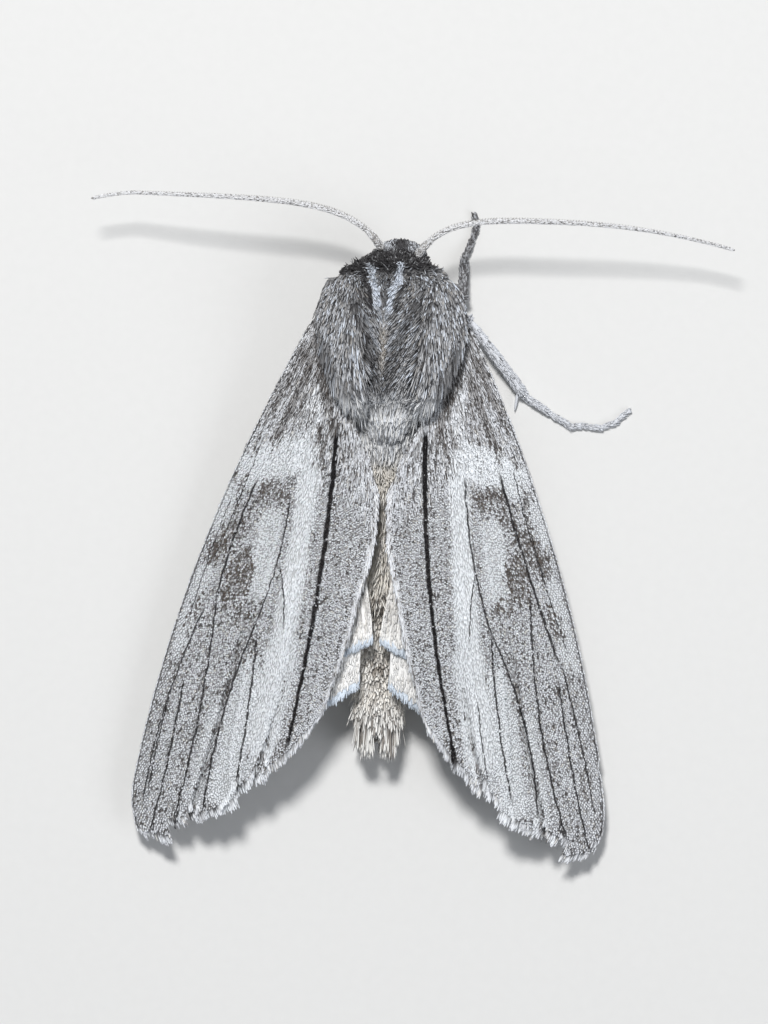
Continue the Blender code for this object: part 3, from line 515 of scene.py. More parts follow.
wingMarks = {
    "left": {
        "streak": (((2.12, 8.2), (2.78, 16.5), (3.62, 21.9)), 0.085),
        "veins": (
            (((5.50, 10.5), (6.45, 13.2), (7.04, 15.7)), 0.055),
            (((7.55, 16.2), (8.75, 19.5), (9.81, 24.6)), 0.040),
            (((4.03, 11.3), (4.46, 14.1), (5.20, 16.6)), 0.038),
            (((5.20, 16.6), (6.30, 20.0), (7.16, 24.9)), 0.050),
            (((4.30, 14.2), (4.12, 15.3), (4.03, 16.7)), 0.030),
            (((5.17, 17.2), (5.37, 20.2), (5.80, 23.9)), 0.050),
            (((7.03, 15.8), (7.73, 22.0), (8.59, 26.1)), 0.050),
            (((8.30, 19.5), (8.74, 22.5), (9.45, 26.0)), 0.050),
            (((8.84, 19.9), (9.31, 22.2), (9.60, 24.2)), 0.038),
            (((5.45, 9.0), (6.20, 11.2), (7.15, 13.8)), 0.022),
            (((6.60, 11.3), (7.35, 13.6), (8.10, 16.3)), 0.022),
        ),
        "smudges": (
            ((4.74, 11.17), 0.62, 0.50, -0.25, 0.85), ((4.20, 11.40), 0.35, 0.45, 0.0, 0.45),
            ((7.05, 13.40), 0.50, 0.95, 0.40, 0.85), ((6.15, 14.80), 0.62, 1.25, 0.25, 0.90),
            ((5.85, 16.30), 0.42, 0.50, 0.10, 0.75), ((8.15, 16.50), 0.34, 0.75, 0.40, 0.55),
            ((5.20, 18.60), 0.70, 0.60, 0.10, 0.30), ((4.50, 22.30), 1.20, 0.60, 0.10, 0.35),
            ((6.10, 12.60), 0.30, 0.60, 0.3, 0.45),
        ),
    },
    "right": {
        "streak": (((1.70, 7.9), (2.40, 16.2), (3.70, 22.3)), 0.085),
        "veins": (
            (((5.00, 9.7), (6.15, 13.1), (7.90, 17.6)), 0.065),
            (((8.20, 18.1), (9.17, 21.4), (9.83, 24.0)), 0.038),
            (((3.51, 10.0), (4.14, 14.0), (4.98, 16.7)), 0.045),
            (((4.98, 16.7), (6.26, 19.5), (7.36, 24.3)), 0.050),
            (((4.12, 14.2), (4.04, 15.3), (4.02, 17.0)), 0.030),
            (((4.98, 16.8), (5.40, 20.0), (6.18, 23.7)), 0.045),
            (((6.64, 15.2), (7.10, 19.4), (8.70, 25.4)), 0.050),
            (((8.05, 18.8), (8.84, 22.6), (9.70, 25.8)), 0.048),
            (((4.53, 19.7), (4.78, 21.3), (5.13, 23.0)), 0.028),
            (((5.60, 9.5), (6.35, 12.0), (7.20, 14.4)), 0.024),
            (((6.50, 12.2), (7.30, 14.6), (8.30, 17.2)), 0.026),
        ),
        "smudges": (
            ((4.55, 10.90), 0.65, 0.48, -0.25, 0.85), ((5.25, 11.55), 0.32, 0.45, 0.3, 0.60),
            ((6.85, 13.20), 0.45, 1.00, 0.40, 0.90), ((6.05, 14.30), 0.55, 1.10, 0.25, 0.95),
            ((5.55, 15.35), 0.55, 0.42, 0.0, 0.90), ((7.80, 16.10), 0.34, 0.75, 0.40, 0.60),
            ((5.10, 18.90), 0.60, 0.60, 0.10, 0.30), ((4.30, 21.60), 1.00, 0.50, 0.10, 0.30),
            ((5.90, 12.20), 0.28, 0.60, 0.3, 0.40),
        ),
    },
}

# Painted shade in the furrows where one panel of the wing folds under the next: (points, strength)
foldShadeLines = (
    (((5.95, 17.6), (6.65, 21.0), (7.95, 25.7)), 0.55), (((3.80, 19.0), (4.40, 21.5), (5.45, 24.3)), 0.50),
    (((7.35, 14.5), (8.35, 18.0), (9.35, 22.5)), 0.2),
)

# Dark speckled rays near the wing's root: (start, end, half width, soft edge, strength)
rootStreaks = (
    ((3.60, 4.7), (5.30, 7.9), 0.04, 0.14, 0.75), ((3.45, 5.5), (4.95, 9.2), 0.09, 0.20, 0.70),
    ((2.75, 8.1), (2.90, 9.8), 0.12, 0.25, 0.65), ((3.90, 4.8), (4.00, 5.4), 0.10, 0.25, 0.50),
    ((3.10, 4.2), (2.65, 6.7), 0.12, 0.28, 1.10), ((2.55, 7.0), (2.20, 8.3), 0.10, 0.25, 0.60),
    ((6.10, 8.9), (7.10, 11.3), 0.03, 0.10, 0.70), ((5.60, 9.0), (6.50, 12.0), 0.05, 0.12, 0.60),
)

# Pale areas of both forewings: (start, end, half width, soft edge, strength)
paleBands = (
    ((3.15, 9.6), (3.55, 13.5), 0.22, 0.38, 0.95),
    ((3.55, 13.5), (4.05, 17.8), 0.28, 0.38, 1.00),
    ((4.05, 17.8), (4.75, 21.9), 0.45, 0.45, 0.90), ((5.25, 18.8), (6.35, 24.2), 0.38, 0.40, 0.75),
    ((6.75, 20.5), (7.60, 24.6), 0.15, 0.35, 0.55), ((3.05, 6.5), (3.20, 9.6), 0.12, 0.28, 0.45),
    ((3.60, 9.2), (5.60, 9.9), 0.50, 0.60, 0.90),
    ((6.70, 11.2), (7.30, 12.2), 0.30, 0.40, 0.60),
    ((4.85, 12.3), (5.15, 15.2), 0.30, 0.40, 0.65),
    ((7.60, 14.6), (8.60, 18.0), 0.18, 0.30, 0.55),
    ((5.75, 20.0), (6.35, 24.0), 0.28, 0.35, 0.60),
    ((4.75, 21.2), (5.20, 23.4), 0.20, 0.30, 0.50),
)


def ridgeSum(x, y, marks, height, width):
    # veins as low ridges that follow the same lines as the marks
    total = np.zeros_like(x)
    for points, _ in marks:
        line = np.polyval(bowThrough(points), y)
        ends = ease(points[0][1] - 1.0, points[0][1] + 1.0, y)
        total = total + hill(x, line, width) * ends
    return height * total


def foreRelief(x, y, s, t, side):
    # the folded fan: veins raised, two steps where one panel lies over the next, and shallow furrows
    marks = wingMarks[side]
    relief = ridgeSum(x, y, marks["veins"][:9] + (marks["streak"],), 0.075, 0.11)
    grow = ease(14.0, 22.0, y)
    firstStep = np.polyval(bowThrough(((5.95, 17.5), (6.65, 21.0), (8.0, 25.9))), y)
    secondStep = np.polyval(bowThrough(((3.80, 18.5), (4.40, 21.5), (5.45, 24.4))), y)
    for line, depth in ((firstStep, 0.30), (secondStep, 0.22)):
        off = x - line
        relief = relief + grow * depth * (ease(-0.06, 0.20, off) - 0.5) * np.exp(-np.abs(off) / 0.9)
        relief = relief - grow * depth * 0.7 * hill(off, 0.0, 0.10)
    relief = relief + 0.05 * np.sin(2.0 * np.pi * t * 7.0 + 0.6) * ease(0.15, 0.6, s)
    return relief * ease(0.02, 0.12, s)


def sheetArrays(s, t, planOf, heightOf, side, top, bottom):
    # a thin closed sheet: the upper and lower face share the grid, and a rim joins them
    grid, across = np.meshgrid(s, t, indexing="ij")
    plan = planOf(grid, across)
    x = plan[..., 0]
    y = plan[..., 1]
    z = heightOf(x, y, grid, across)
    rows, columns = x.shape
    upper = np.stack([side * x, y, z + top], -1)
    lower = np.stack([side * x, y, z + bottom], -1)
    points = np.concatenate([upper.reshape(-1, 3), lower.reshape(-1, 3)])
    i, j = np.meshgrid(np.arange(rows - 1), np.arange(columns - 1), indexing="ij")
    a = (i * columns + j).ravel()
    b = a + 1
    c = a + columns
    d = c + 1
    sheet = rows * columns
    quads = [np.stack([a, b, d, c], -1), np.stack([c, d, b, a], -1) + sheet]
    rim = list(range(columns))
    rim += [r * columns + columns - 1 for r in range(1, rows)]
    rim += [(rows - 1) * columns + k for k in range(columns - 2, -1, -1)]
    rim += [r * columns for r in range(rows - 2, 0, -1)]
    rim = np.array(rim)
    after = np.roll(rim, -1)
    quads.append(np.stack([rim, rim + sheet, after + sheet, after], -1))
    quads = np.concatenate(quads)
    if side > 0:
        quads = quads[:, ::-1]
    length = np.linalg.norm(np.diff(upper, axis=0), axis=2)
    along = np.concatenate([np.zeros((1, columns)), np.cumsum(length, axis=0)])
    width = np.linalg.norm(np.diff(upper, axis=1), axis=2)
    over = np.concatenate([np.zeros((rows, 1)), np.cumsum(width, axis=1)], axis=1)
    over = over - over[:, columns // 2][:, None]
    place = np.stack([x, y, z], -1).reshape(-1, 3)
    space = np.stack([over, along, np.ones_like(over)], -1).reshape(-1, 3)
    uvTop = sheetUv(grid, across).reshape(-1, 2)
    uv = np.concatenate([uvTop, uvTop + (0.5, 0.0)])
    uvCorners = uv[quads.ravel()]
    spaces = np.concatenate([space, space * (1.0, 1.0, 0.0)])
    return points, quads, {"place": np.tile(place, (2, 1)), "scaleSpace": spaces}, uvCorners


# Finish of the wings: single scales, light or dark, laid in rows

scaleFinish = {
    "lightScale": (0.72, 0.735, 0.77), "whiteScale": (0.93, 0.96, 0.99), "greyScale": (0.30, 0.29, 0.285),
    "darkScale": (0.045, 0.041, 0.041), "brownScale": (0.115, 0.086, 0.064),
    "creamScale": (0.66, 0.62, 0.56), "lineColour": (0.010, 0.009, 0.010),
    "scaleWidth": 0.085, "scaleLength": 0.16,
}


def wingPaint(name, marks, isCoat=False):
    look = scaleFinish
    paint = Paint(name, 0.55, Specular_IOR_Level=0.16)
    x, y, _ = paint.split(paint.attribute("place", "Vector"))
    if isCoat:
        chance = paint.attribute("tint")
        second = paint.maths("FRACT", chance * 37.7)
        space = paint.join(x, y)
    else:
        space = paint.attribute("scaleSpace", "Vector")
        across, along, upper = paint.split(space)
        wobble = paint.noise(space, 2.2) * 0.10
        cellPlace = paint.join(across / look["scaleWidth"] + wobble, along / look["scaleLength"])
        chance, second, _ = paint.split(paint.cells(cellPlace, "Color"))
        space = paint.join(x, y)
    ragged = paint.noise(space, 4.0, 3.0) - 0.5
    feather = paint.noise(paint.join(x * 4.5 - y * 1.4, y * 0.9), 1.0, 3.0) - 0.5
    softX = x + ragged * 0.18 + feather * 0.12
    softY = y + ragged * 0.35 + feather * 1.5
    wander = paint.noise(space, 1.7, 2.0) - 0.5
    bead = paint.noise(paint.join(x * 2.0, y * 5.0), 1.0, 1.0) * 0.7 + second * 0.5
    lineX = x + wander * 0.15 + ragged * 0.07 + (second - 0.5) * 0.03

    pale = paint.strokes(softX, softY, paleBands)
    smudge = 0.0
    for middle, halfX, halfY, lean, strength in marks["smudges"]:
        one = paint.spot(softX, softY, middle, halfX * 1.4, halfY * 1.35, lean) * strength
        smudge = paint.most(one, smudge)
    line = 0.0
    for points, halfWidth in marks["veins"]:
        line = paint.most(paint.curve(lineX, y, points, halfWidth * 0.50, halfWidth * 0.75), line)
    points, halfWidth = marks["streak"]
    swell = paint.noise(paint.join(y * 1.4, 3.0), 1.0, 2.0) + 0.30 - paint.ease(12.0, 21.0, y) * 0.32
    streak = paint.curve(lineX, y, points, swell * halfWidth, halfWidth * 0.8)

    # how many scales are dark here, and how many of the rest are grey; streaks fan out from the root
    fan = (x - 1.2) / (y + 2.0)
    broad = paint.noise(paint.join(fan * 26.0, y * 0.30), 1.0, 3.0) - 0.5
    fine = paint.noise(paint.join(fan * 105.0, y * 0.8), 1.0, 2.0) - 0.5
    nearRoot = 1.0 - paint.ease(6.0, 13.0, y)
    streaky = broad * (0.8 - paint.ease(16.0, 19.0, y) * 0.3) + fine * (0.8 + nearRoot * 1.3)
    # painted shade in the furrows between folded panels, joined with the dark streaks near the root
    foldShadeAndStreaks = 0.0
    for points, strength in foldShadeLines:
        foldShadeAndStreaks = paint.most(paint.curve(x, y, points, 0.05, 0.22) * strength, foldShadeAndStreaks)
    foldShadeAndStreaks = paint.strokes(softX, y, rootStreaks, foldShadeAndStreaks)
    smudge = smudge * (0.80 + streaky * 1.3)
    darkShare = 0.065 + streaky * 0.40 - pale * 0.22 + smudge * 0.44 + foldShadeAndStreaks * 0.38 + nearRoot * 0.07
    greyShare = darkShare + 0.15 + streaky * 0.50 - pale * 0.30 + smudge * 0.28 + foldShadeAndStreaks * 0.30
    greyShare = greyShare + nearRoot * 0.24
    isDark = paint.ease(-0.05, 0.05, darkShare - chance)
    isGrey = paint.ease(-0.10, 0.10, greyShare - chance)
    darkTone = paint.mix(look["darkScale"], look["brownScale"], paint.clamp(smudge * 0.7 + second * 0.5))
    # whiter in the pale bands, and a random share of scales whitened as painted glints
    paleAndGlints = paint.clamp(pale * 0.9 + second * second * 1.2)
    light = paint.mix(look["lightScale"], look["whiteScale"], paleAndGlints)
    light = paint.mix(light, look["creamScale"], paint.ease(0.90, 0.96, second) * (1.0 - pale) * 0.6)
    colour = paint.mix(light, look["greyScale"], isGrey * (0.60 + second * 0.35))
    colour = paint.mix(colour, darkTone, isDark * 0.85)
    colour = paint.mix(colour, look["lineColour"], line * paint.ease(0.30, 0.44, bead) * 0.94)
    colour = paint.mix(colour, look["lineColour"], streak * paint.ease(0.26, 0.36, bead))
    if isCoat:
        along = paint.attribute("along")
        # painted shade at the root of each scale and hair, where it lies under the one before; less in the
        # pale bands
        gap = (1.0 - paint.ease(0.20, 0.70, along)) * (0.86 - pale * 0.50)
        colour = paint.mix(colour, look["darkScale"], gap)
        return paint.finish(colour)
    # the sheet under the loose scales is darkened by half: painted shade
    colour = paint.mix(colour, look["darkScale"], 0.50)
    greyUnder = paint.clamp(paint.ease(0.55, 0.80, chance) + 0.25)
    under = paint.mix(look["lightScale"], look["greyScale"], greyUnder)
    colour = paint.mix(under, colour, paint.ease(0.2, 0.8, upper))
    return paint.finish(colour, paint.cells(cellPlace) * -0.9 + chance * 0.4, 0.00003, 0.7)


def makeForewing(side, sign):
    marks = wingMarks[side]
    label = side.capitalize()
    skinPaint = wingPaint("wingScales" + label, marks)
    s = 1.0 - (1.0 - np.linspace(0.0, 1.0, 150)) ** 1.15
    t = np.linspace(0.0, 1.0, 120)
    heightOf = lambda x, y, u, v: roofHeight(x, y) + foreRelief(x, y, u, v, side)
    points, quads, vectors, uv = sheetArrays(
        s * wingPlan["hem"], t, forePlan, heightOf, sign, wingPlan["sheetTop"], wingPlan["sheetBottom"])
    makePiece("forewing" + label, points, [quads], skinPaint,
              ("forewing_" + side,), None, vectors, uv)
    return heightOf


# Fringes and hair-scales that lie on a wing

def onWing(s, t, planOf, heightOf, sign, top):
    # points, normals and root-to-margin directions on a wing's upper face
    step = 0.004
    here = planOf(s, t)
    ahead = planOf(s + step, t)
    beside = planOf(s, t + step)

    def place(plan, u, v):
        x = plan[..., 0]
        y = plan[..., 1]
        return np.stack([sign * x, y, heightOf(x, y, u, v) + top], -1)

    at = place(here, s, t)
    flow = unit(place(ahead, s + step, t) - at)
    across = unit(place(beside, s, t + step) - at)
    normal = unit(np.cross(flow, across))
    normal = normal * np.sign(normal[..., 2:3])
    return at, normal, flow, here


fringe = {"count": 1795, "length": 0.60, "width": 0.085, "thickness": 0.02}
wingHair = {"count": 2300, "edgeCount": 900, "length": 0.85, "width": 0.046, "thickness": 0.02}


def makeForeFringe(side, sign, heightOf, paint):
    rng = seeded(31, sign)
    count = fringe["count"]
    t = np.sort(rng.uniform(0.0, 1.0, count))
    s = wingPlan["hem"] - rng.uniform(-0.004, 0.030, count)
    at, normal, flow, _ = onWing(s, t, forePlan, heightOf, sign, wingPlan["sheetTop"] - 0.04)
    lengths = fringe["length"] * rng.uniform(0.72, 1.05, count)
    clump = np.sin(t * 97.0 + 2.0 * np.sin(t * 31.0))
    sway = swayOf(rng, count, 0.05, 0.0, 0.08 * clump)
    lengths = lengths * (1.0 + 0.07 * clump)
    lifts = rng.uniform(-0.09, 0.0, count)
    paths, ups = tuftPaths(at, normal, flow + sway, lengths, lifts, 4, None, 0.0)
    widths = fringe["width"] * rng.uniform(0.7, 1.2, count)
    makeCoat("foreFringe" + side.capitalize(), paths, ups, widths, fringe["thickness"], sheetUv(s, t),
             rng.uniform(0.22, 1.0, count), paint, 0.5, True)


def paleShare(x, y):
    # how far a place lies in a pale band, for the longer scales there
    most = np.zeros_like(x)
    for start, end, halfWidth, soft, strength in paleBands[:3]:
        a = np.array(start)
        b = np.array(end)
        along = np.clip(((x - a[0]) * (b - a)[0] + (y - a[1]) * (b - a)[1]) / np.sum((b - a) ** 2), 0.0, 1.0)
        away = np.hypot(x - a[0] - along * (b - a)[0], y - a[1] - along * (b - a)[1])
        most = np.maximum(most, strength * (1.0 - ease(halfWidth, halfWidth + soft, away)))
    return most


wingScale = {
    "row": 0.106, "column": 0.084, "width": 0.100, "thickness": 0.012, "lift": 0.046, "overlap": 1.75,
}


def makeWingScales(side, sign, heightOf, paint):
    # flat scales in rows, root to margin, each lying over the next
    look = wingScale
    rng = seeded(21, sign)
    rows = int((wingPlan["apexY"] - wingPlan["hingeY"]) * 1.06 / look["row"])
    allS = []
    allT = []
    for r in range(rows):
        level = wingPlan["hem"] * (r + 0.4) / rows
        width = np.linalg.norm(forePlan(level, 0.0) - forePlan(level, 1.0))
        count = int(width / look["column"])
        t = (np.arange(count) + 0.5 * (r % 2) + rng.uniform(-0.24, 0.24, count)) / count
        keep = rng.uniform(0.0, 1.0, count) < blend(1.05, 0.62, np.clip(t, 0.0, 1.0))
        allT.append(np.clip(t[keep], 0.002, 0.998))
        allS.append(np.full(int(keep.sum()), level))
    t = np.concatenate(allT)
    count = len(t)
    tidy = 1.0 - ease(0.05, 0.35, t)
    s = np.concatenate(allS) + rng.normal(0.0, 1.0, count) * blend(0.0010, 0.0003, tidy)
    s = np.clip(s, 0.001, wingPlan["hem"])
    at, normal, flow, here = onWing(s, t, forePlan, heightOf, sign, wingPlan["sheetTop"])
    pitch = look["row"] * blend(1.0, 0.62, t)
    smooth = paleShare(here[:, 0], here[:, 1])
    root = 1.0 - ease(0.05, 0.30, s)
    lengths = pitch * look["overlap"] * rng.uniform(0.85, 1.2, count) * (1.0 + 1.3 * smooth + 1.2 * root)
    widths = look["width"] * rng.uniform(0.75, 1.2, count) * (1.0 - 0.35 * smooth - 0.25 * root)
    lifts = look["lift"] * rng.uniform(0.4, 1.4, count) * (1.0 - 0.5 * smooth)
    sway = swayOf(rng, count, 0.10, 0.03)
    paths, ups = tuftPaths(at, normal, flow + sway, lengths, lifts, 3, None, 0.012, 1.0)
    roll = rng.normal(0.0, 0.16, count)[:, None, None]
    ups = unit(ups + np.cross(flow, normal)[:, None] * roll)
    makeCoat("foreScales" + side.capitalize(), paths, ups, widths, look["thickness"], sheetUv(s, t),
             rng.uniform(0.0, 1.0, count), paint, 0.0, True)


def makeWingHair(side, sign, heightOf, paint):
    # longer hair-scales over the wing's root and along its inner edge
    rng = seeded(41, sign)
    rootCount = wingHair["count"]
    edgeCount = wingHair["edgeCount"]
    rootS = 0.004 + 0.26 * rng.uniform(0, 1, rootCount) ** 1.4
    s = np.concatenate([rootS, rng.uniform(0.08, 0.93, edgeCount)])
    rootT = rng.uniform(0.03, 0.98, rootCount)
    t = np.concatenate([rootT, 1.0 - 0.030 * rng.uniform(0, 1, edgeCount) ** 1.5])
    at, normal, flow, _ = onWing(s, t, forePlan, heightOf, sign, wingPlan["sheetTop"])
    count = rootCount + edgeCount
    isEdge = np.arange(count) >= rootCount
    shorter = np.where(isEdge, 0.75, 1.0 - 1.6 * np.minimum(s, 0.3))
    lengths = wingHair["length"] * rng.uniform(0.6, 1.15, count) * shorter
    sway = swayOf(rng, count, 0.06, 0.05, -sign * np.where(isEdge, 0.26, 0.0))
    lifts = np.where(isEdge, 0.02, rng.uniform(0.03, 0.11, count))
    paths, ups = tuftPaths(at, normal, flow + sway, lengths, lifts, 4, None, 0.02)
    widths = wingHair["width"] * rng.uniform(0.6, 1.3, count)
    makeCoat("wingHair" + side.capitalize(), paths, ups, widths, wingHair["thickness"], sheetUv(s, t),
             rng.uniform(0.0, 1.0, count), paint, 0.3, True)


costaScale = {"count": 1300, "length": (0.20, 0.34), "lift": (0.01, 0.05), "width": 0.10, "thickness": 0.012}


def makeCostaScales(side, sign, heightOf, paint):
    # small scales that wrap the wing's leading edge
    look = costaScale
    rng = seeded(45, sign)
    count = look["count"]
    s = np.sort(rng.uniform(0.0, wingPlan["hem"], count))
    at, normal, flow, _ = onWing(s, np.full(count, 0.0005), forePlan, heightOf, sign, 0.0)
    out = unit(np.cross(flow, normal))
    out = out * np.sign(out[:, :1] * sign)
    turn = rng.uniform(-0.9, 1.3, count)
    facing = unit(out * np.cos(turn)[:, None] + normal * np.sin(turn)[:, None])
    height = blend(wingPlan["sheetBottom"], wingPlan["sheetTop"], 0.5 + 0.5 * np.sin(turn))
    roots = at + normal * height[:, None]
    flows = flow + rng.normal(0.0, 0.06, (count, 3))
    lengths = rng.uniform(*look["length"], count)
    lifts = rng.uniform(*look["lift"], count)
    paths, ups = tuftPaths(roots, facing, flows, lengths, lifts, 3, None, 0.01, 1.0)
    uv = np.stack([0.02 + 0.01 * rng.uniform(0.0, 1.0, count), 0.02 + 0.96 * s], -1)
    widths = look["width"] * rng.uniform(0.8, 1.2, count)
    makeCoat("costaScales" + side.capitalize(), paths, ups, widths, look["thickness"], uv,
             rng.uniform(0.35, 1.0, count), paint, 0.0, True)


print("stage: forewings")
for wingSide, wingSign in sides:
    wingHeight = makeForewing(wingSide, wingSign)
    wingCoatPaint = wingPaint("wingHair" + wingSide.capitalize(), wingMarks[wingSide], True)
    for makeLayer in (makeWingScales, makeForeFringe, makeWingHair, makeCostaScales):
        makeLayer(wingSide, wingSign, wingHeight, wingCoatPaint)


# Hindwings: white inside, with a bluish fringe and one fold of the inner edge lying over the rest

hindFinish = {
    "white": (0.97, 0.965, 0.95), "shade": (0.50, 0.48, 0.45), "cream": (0.84, 0.79, 0.71),
    "fringe": (0.72, 0.80, 0.89), "fringeTip": (0.80, 0.86, 0.94),
}
hindSheet = {
    "thickness": 0.10, "foldShare": 0.80, "foldLift": 0.16,
    "fringeLength": 0.55, "fringeWidth": 0.075, "scaleLength": 0.30, "scaleWidth": 0.085,
}


def hindPaint(name, coat=""):
    look = hindFinish
    paint = Paint(name, 0.55, Specular_IOR_Level=0.3, Sheen_Weight=0.10)
    x, y, _ = paint.split(paint.attribute("place", "Vector"))
    if coat:
        tint = paint.attribute("tint")
        along = paint.attribute("along")
        if coat == "fringe":
            colour = paint.mix(look["white"], look["fringe"], paint.ease(0.05, 0.35, along))
            return paint.finish(paint.mix(colour, look["fringeTip"], tint * 0.45))
        colour = paint.mix(look["white"], look["shade"], paint.ease(0.86, 0.94, tint) * 0.5)
        colour = paint.mix(colour, look["cream"], (1.0 - paint.ease(0.0, 0.30, tint)) * 0.4)
        # painted shade at each scale's root and over the upper lobes, which lie under the forewing
        upper = 1.0 - paint.ease(15.5, 17.5, y)
        shaded = (1.0 - paint.ease(0.0, 0.4, along)) * 0.20 + upper * 0.42
        colour = paint.mix(colour, look["shade"], shaded)
        return paint.finish(colour)
    space = paint.attribute("scaleSpace", "Vector")
    across, along, _ = paint.split(space)
    cellPlace = paint.join(across / 0.07, along / 0.22)
    chance, second, _ = paint.split(paint.cells(cellPlace, "Color"))
    cloud = paint.noise(space, 1.3, 3.0)
    outside = paint.ease(2.2, 4.5, x)
    shade = paint.clamp(outside * 0.8 + paint.ease(0.80, 0.95, chance) * 0.25 + cloud * 0.14 - 0.05)
    colour = paint.mix(look["white"], look["shade"], shade)
    height = paint.cells(cellPlace) * -0.8 + second * 0.3
    return paint.finish(colour, height, 0.00002, 0.7)


def hindHeight(x, y, s, t):
    pleats = 0.05 * np.sin(2.0 * np.pi * t * 5.0) * ease(0.2, 0.7, s)
    return roofHeight(x, y) - wingPlan["hindDrop"] + pleats + 0.26 * ease(13.0, 16.0, y)


def foldPlan(s, t):
    # the inner edge's fold, which lies over the rest of the hindwing
    return hindPlan(s * hindSheet["foldShare"], 0.84 + 0.17 * t - 0.05 * (1.0 - s))


def foldHeight(x, y, s, t):
    lift = hindSheet["foldLift"] + 0.10 * ease(0.75, 1.0, t)
    return hindHeight(x, y, s * hindSheet["foldShare"], t) + lift


def layTogether(name, lots, width, thickness, rng, paint):
    # several lots of tufts (middle lines, upward directions, unwrap places) as one piece
    paths, ups, uv = (np.concatenate([lot[k] for lot in lots]) for k in range(3))
    widths = width * rng.uniform(0.7, 1.2, len(paths))
    makeCoat(name, paths, ups, widths, thickness, uv,
             rng.uniform(0.0, 1.0, len(paths)), paint, 0.5, True)


def makeHindwing(side, sign, skin, hair, white):
    look = hindSheet
    label = side.capitalize()
    rng = seeded(51, sign)
    main = sheetArrays(np.linspace(0.0, 0.972, 60), np.linspace(0.0, 1.0, 54),
                       hindPlan, hindHeight, sign, look["thickness"], 0.0)
    fold = sheetArrays(np.linspace(0.10, 0.985, 44), np.linspace(0.0, 1.0, 20),
                       foldPlan, foldHeight, sign, look["thickness"], 0.0)
    points = np.concatenate([main[0], fold[0]])
    quads = np.concatenate([main[1], fold[1] + len(main[0])])
    vectors = {key: np.concatenate([main[2][key], fold[2][key]]) for key in main[2]}
    makePiece("hindwing" + label, points, [quads], skin, ("hindwing_" + side,),
              None, vectors, np.concatenate([main[3], fold[3]]))
    lots = []
    for planOf, heightOf, count, hem in (
            (hindPlan, hindHeight, 1100, 0.965), (foldPlan, foldHeight, 300, 0.975)):
        t = rng.uniform(0.0, 1.0, count)
        s = hem - rng.uniform(-0.006, 0.03, count)
        at, normal, flow, _ = onWing(s, t, planOf, heightOf, sign, 0.07)
        sway = swayOf(rng, count, 0.12, 0.05)
        lengths = look["fringeLength"] * rng.uniform(0.7, 1.1, count)
        lifts = rng.uniform(-0.06, 0.03, count)
        lots.append((*tuftPaths(at, normal, flow + sway, lengths, lifts, 4, None, 0.0), sheetUv(s, t)))
    layTogether("hindFringe" + label, lots, look["fringeWidth"], 0.02, rng, hair)
    lots = []
    for planOf, heightOf, count, firstT, firstS, lastS in (
            (hindPlan, hindHeight, 950, 0.60, 0.45, 0.965), (foldPlan, foldHeight, 700, 0.0, 0.3, 0.97)):
        t = rng.uniform(firstT, 1.0, count)
        s = rng.uniform(firstS, lastS, count)
        at, normal, flow, _ = onWing(s, t, planOf, heightOf, sign, look["thickness"])
        lengths = look["scaleLength"] * rng.uniform(0.7, 1.2, count)
        sway = swayOf(rng, count, 0.10)
        lifts = rng.uniform(0.01, 0.05, count)
        lots.append((*tuftPaths(at, normal, flow + sway, lengths, lifts, 4, None, 0.01, 1.0), sheetUv(s, t)))
    layTogether("hindScales" + label, lots, look["scaleWidth"], 0.013, rng, white)


print("stage: hindwings")
hindSkin = hindPaint("hindScales")
hindHair = hindPaint("hindFringe", "fringe")
hindWhite = hindPaint("hindWhite", "scales")
for wingSide, wingSign in sides:
    makeHindwing(wingSide, wingSign, hindSkin, hindHair, hindWhite)


# The body's skin: head, thorax and abdomen as one closed surface under the coat

body = {
    "voxel": 0.11, "smoothing": 0.6, "smoothRounds": 16,
    "abdomenStart": 8.6, "abdomenEnd": 20.6, "rings": 8, "halfWidth": 1.42, "halfHeight": 1.05,
}


def ballPart(middle, half, columns=28, rows=16):
    i, j = np.meshgrid(np.arange(1, rows), np.arange(columns), indexing="ij")
    polar = np.pi * i / rows
    angle = 2.0 * np.pi * j / columns
    points = np.stack([np.sin(polar) * np.cos(angle), -np.cos(polar), np.sin(polar) * np.sin(angle)], -1)
    rings = points * half + np.asarray(middle)
    return loftPart(rings)


def ovalRing(x, y, z, halfX, up, down, corners=32):
    angle = 2.0 * np.pi * np.arange(corners) / corners
    rise = np.where(np.sin(angle) > 0.0, up, down)
    return np.stack([x + halfX * np.cos(angle), np.full(corners, y), z + rise * np.sin(angle)], -1)


def humpRing(y):
    rise = math.sin(math.pi * min(0.97, 0.20 + 0.77 * (y - 1.75) / 6.3)) ** 0.55
    top = blend(3.4, 4.98, rise)
    half = min(2.65, 1.75 + float(ease(1.7, 3.6, y)))
    if y > wingPlan["hingeY"] - 0.6:
        half = min(half, rootEdgeX(max(y, wingPlan["hingeY"])) - 0.44)
    return ovalRing(0.0, y, 2.9, half, top - 2.9, 0.9)


def tegulaAxis(f):
    x = 2.28 + 0.16 * math.sin(math.pi * min(1.0, f * 1.9)) - 0.95 * f ** 1.5
    y = blend(1.5, 7.9, f)
    z = 3.80 + 1.25 * float(ease(0.0, 0.9, f)) ** 0.8
    half = 1.24 * math.sin(math.pi * (0.20 + 0.80 * f)) ** 0.8 + 0.10
    thick = 0.42 * math.sin(math.pi * (0.12 + 0.85 * f)) ** 0.7 + 0.06
    return x, y, z, half, thick, blend(0.75, 0.25, f)


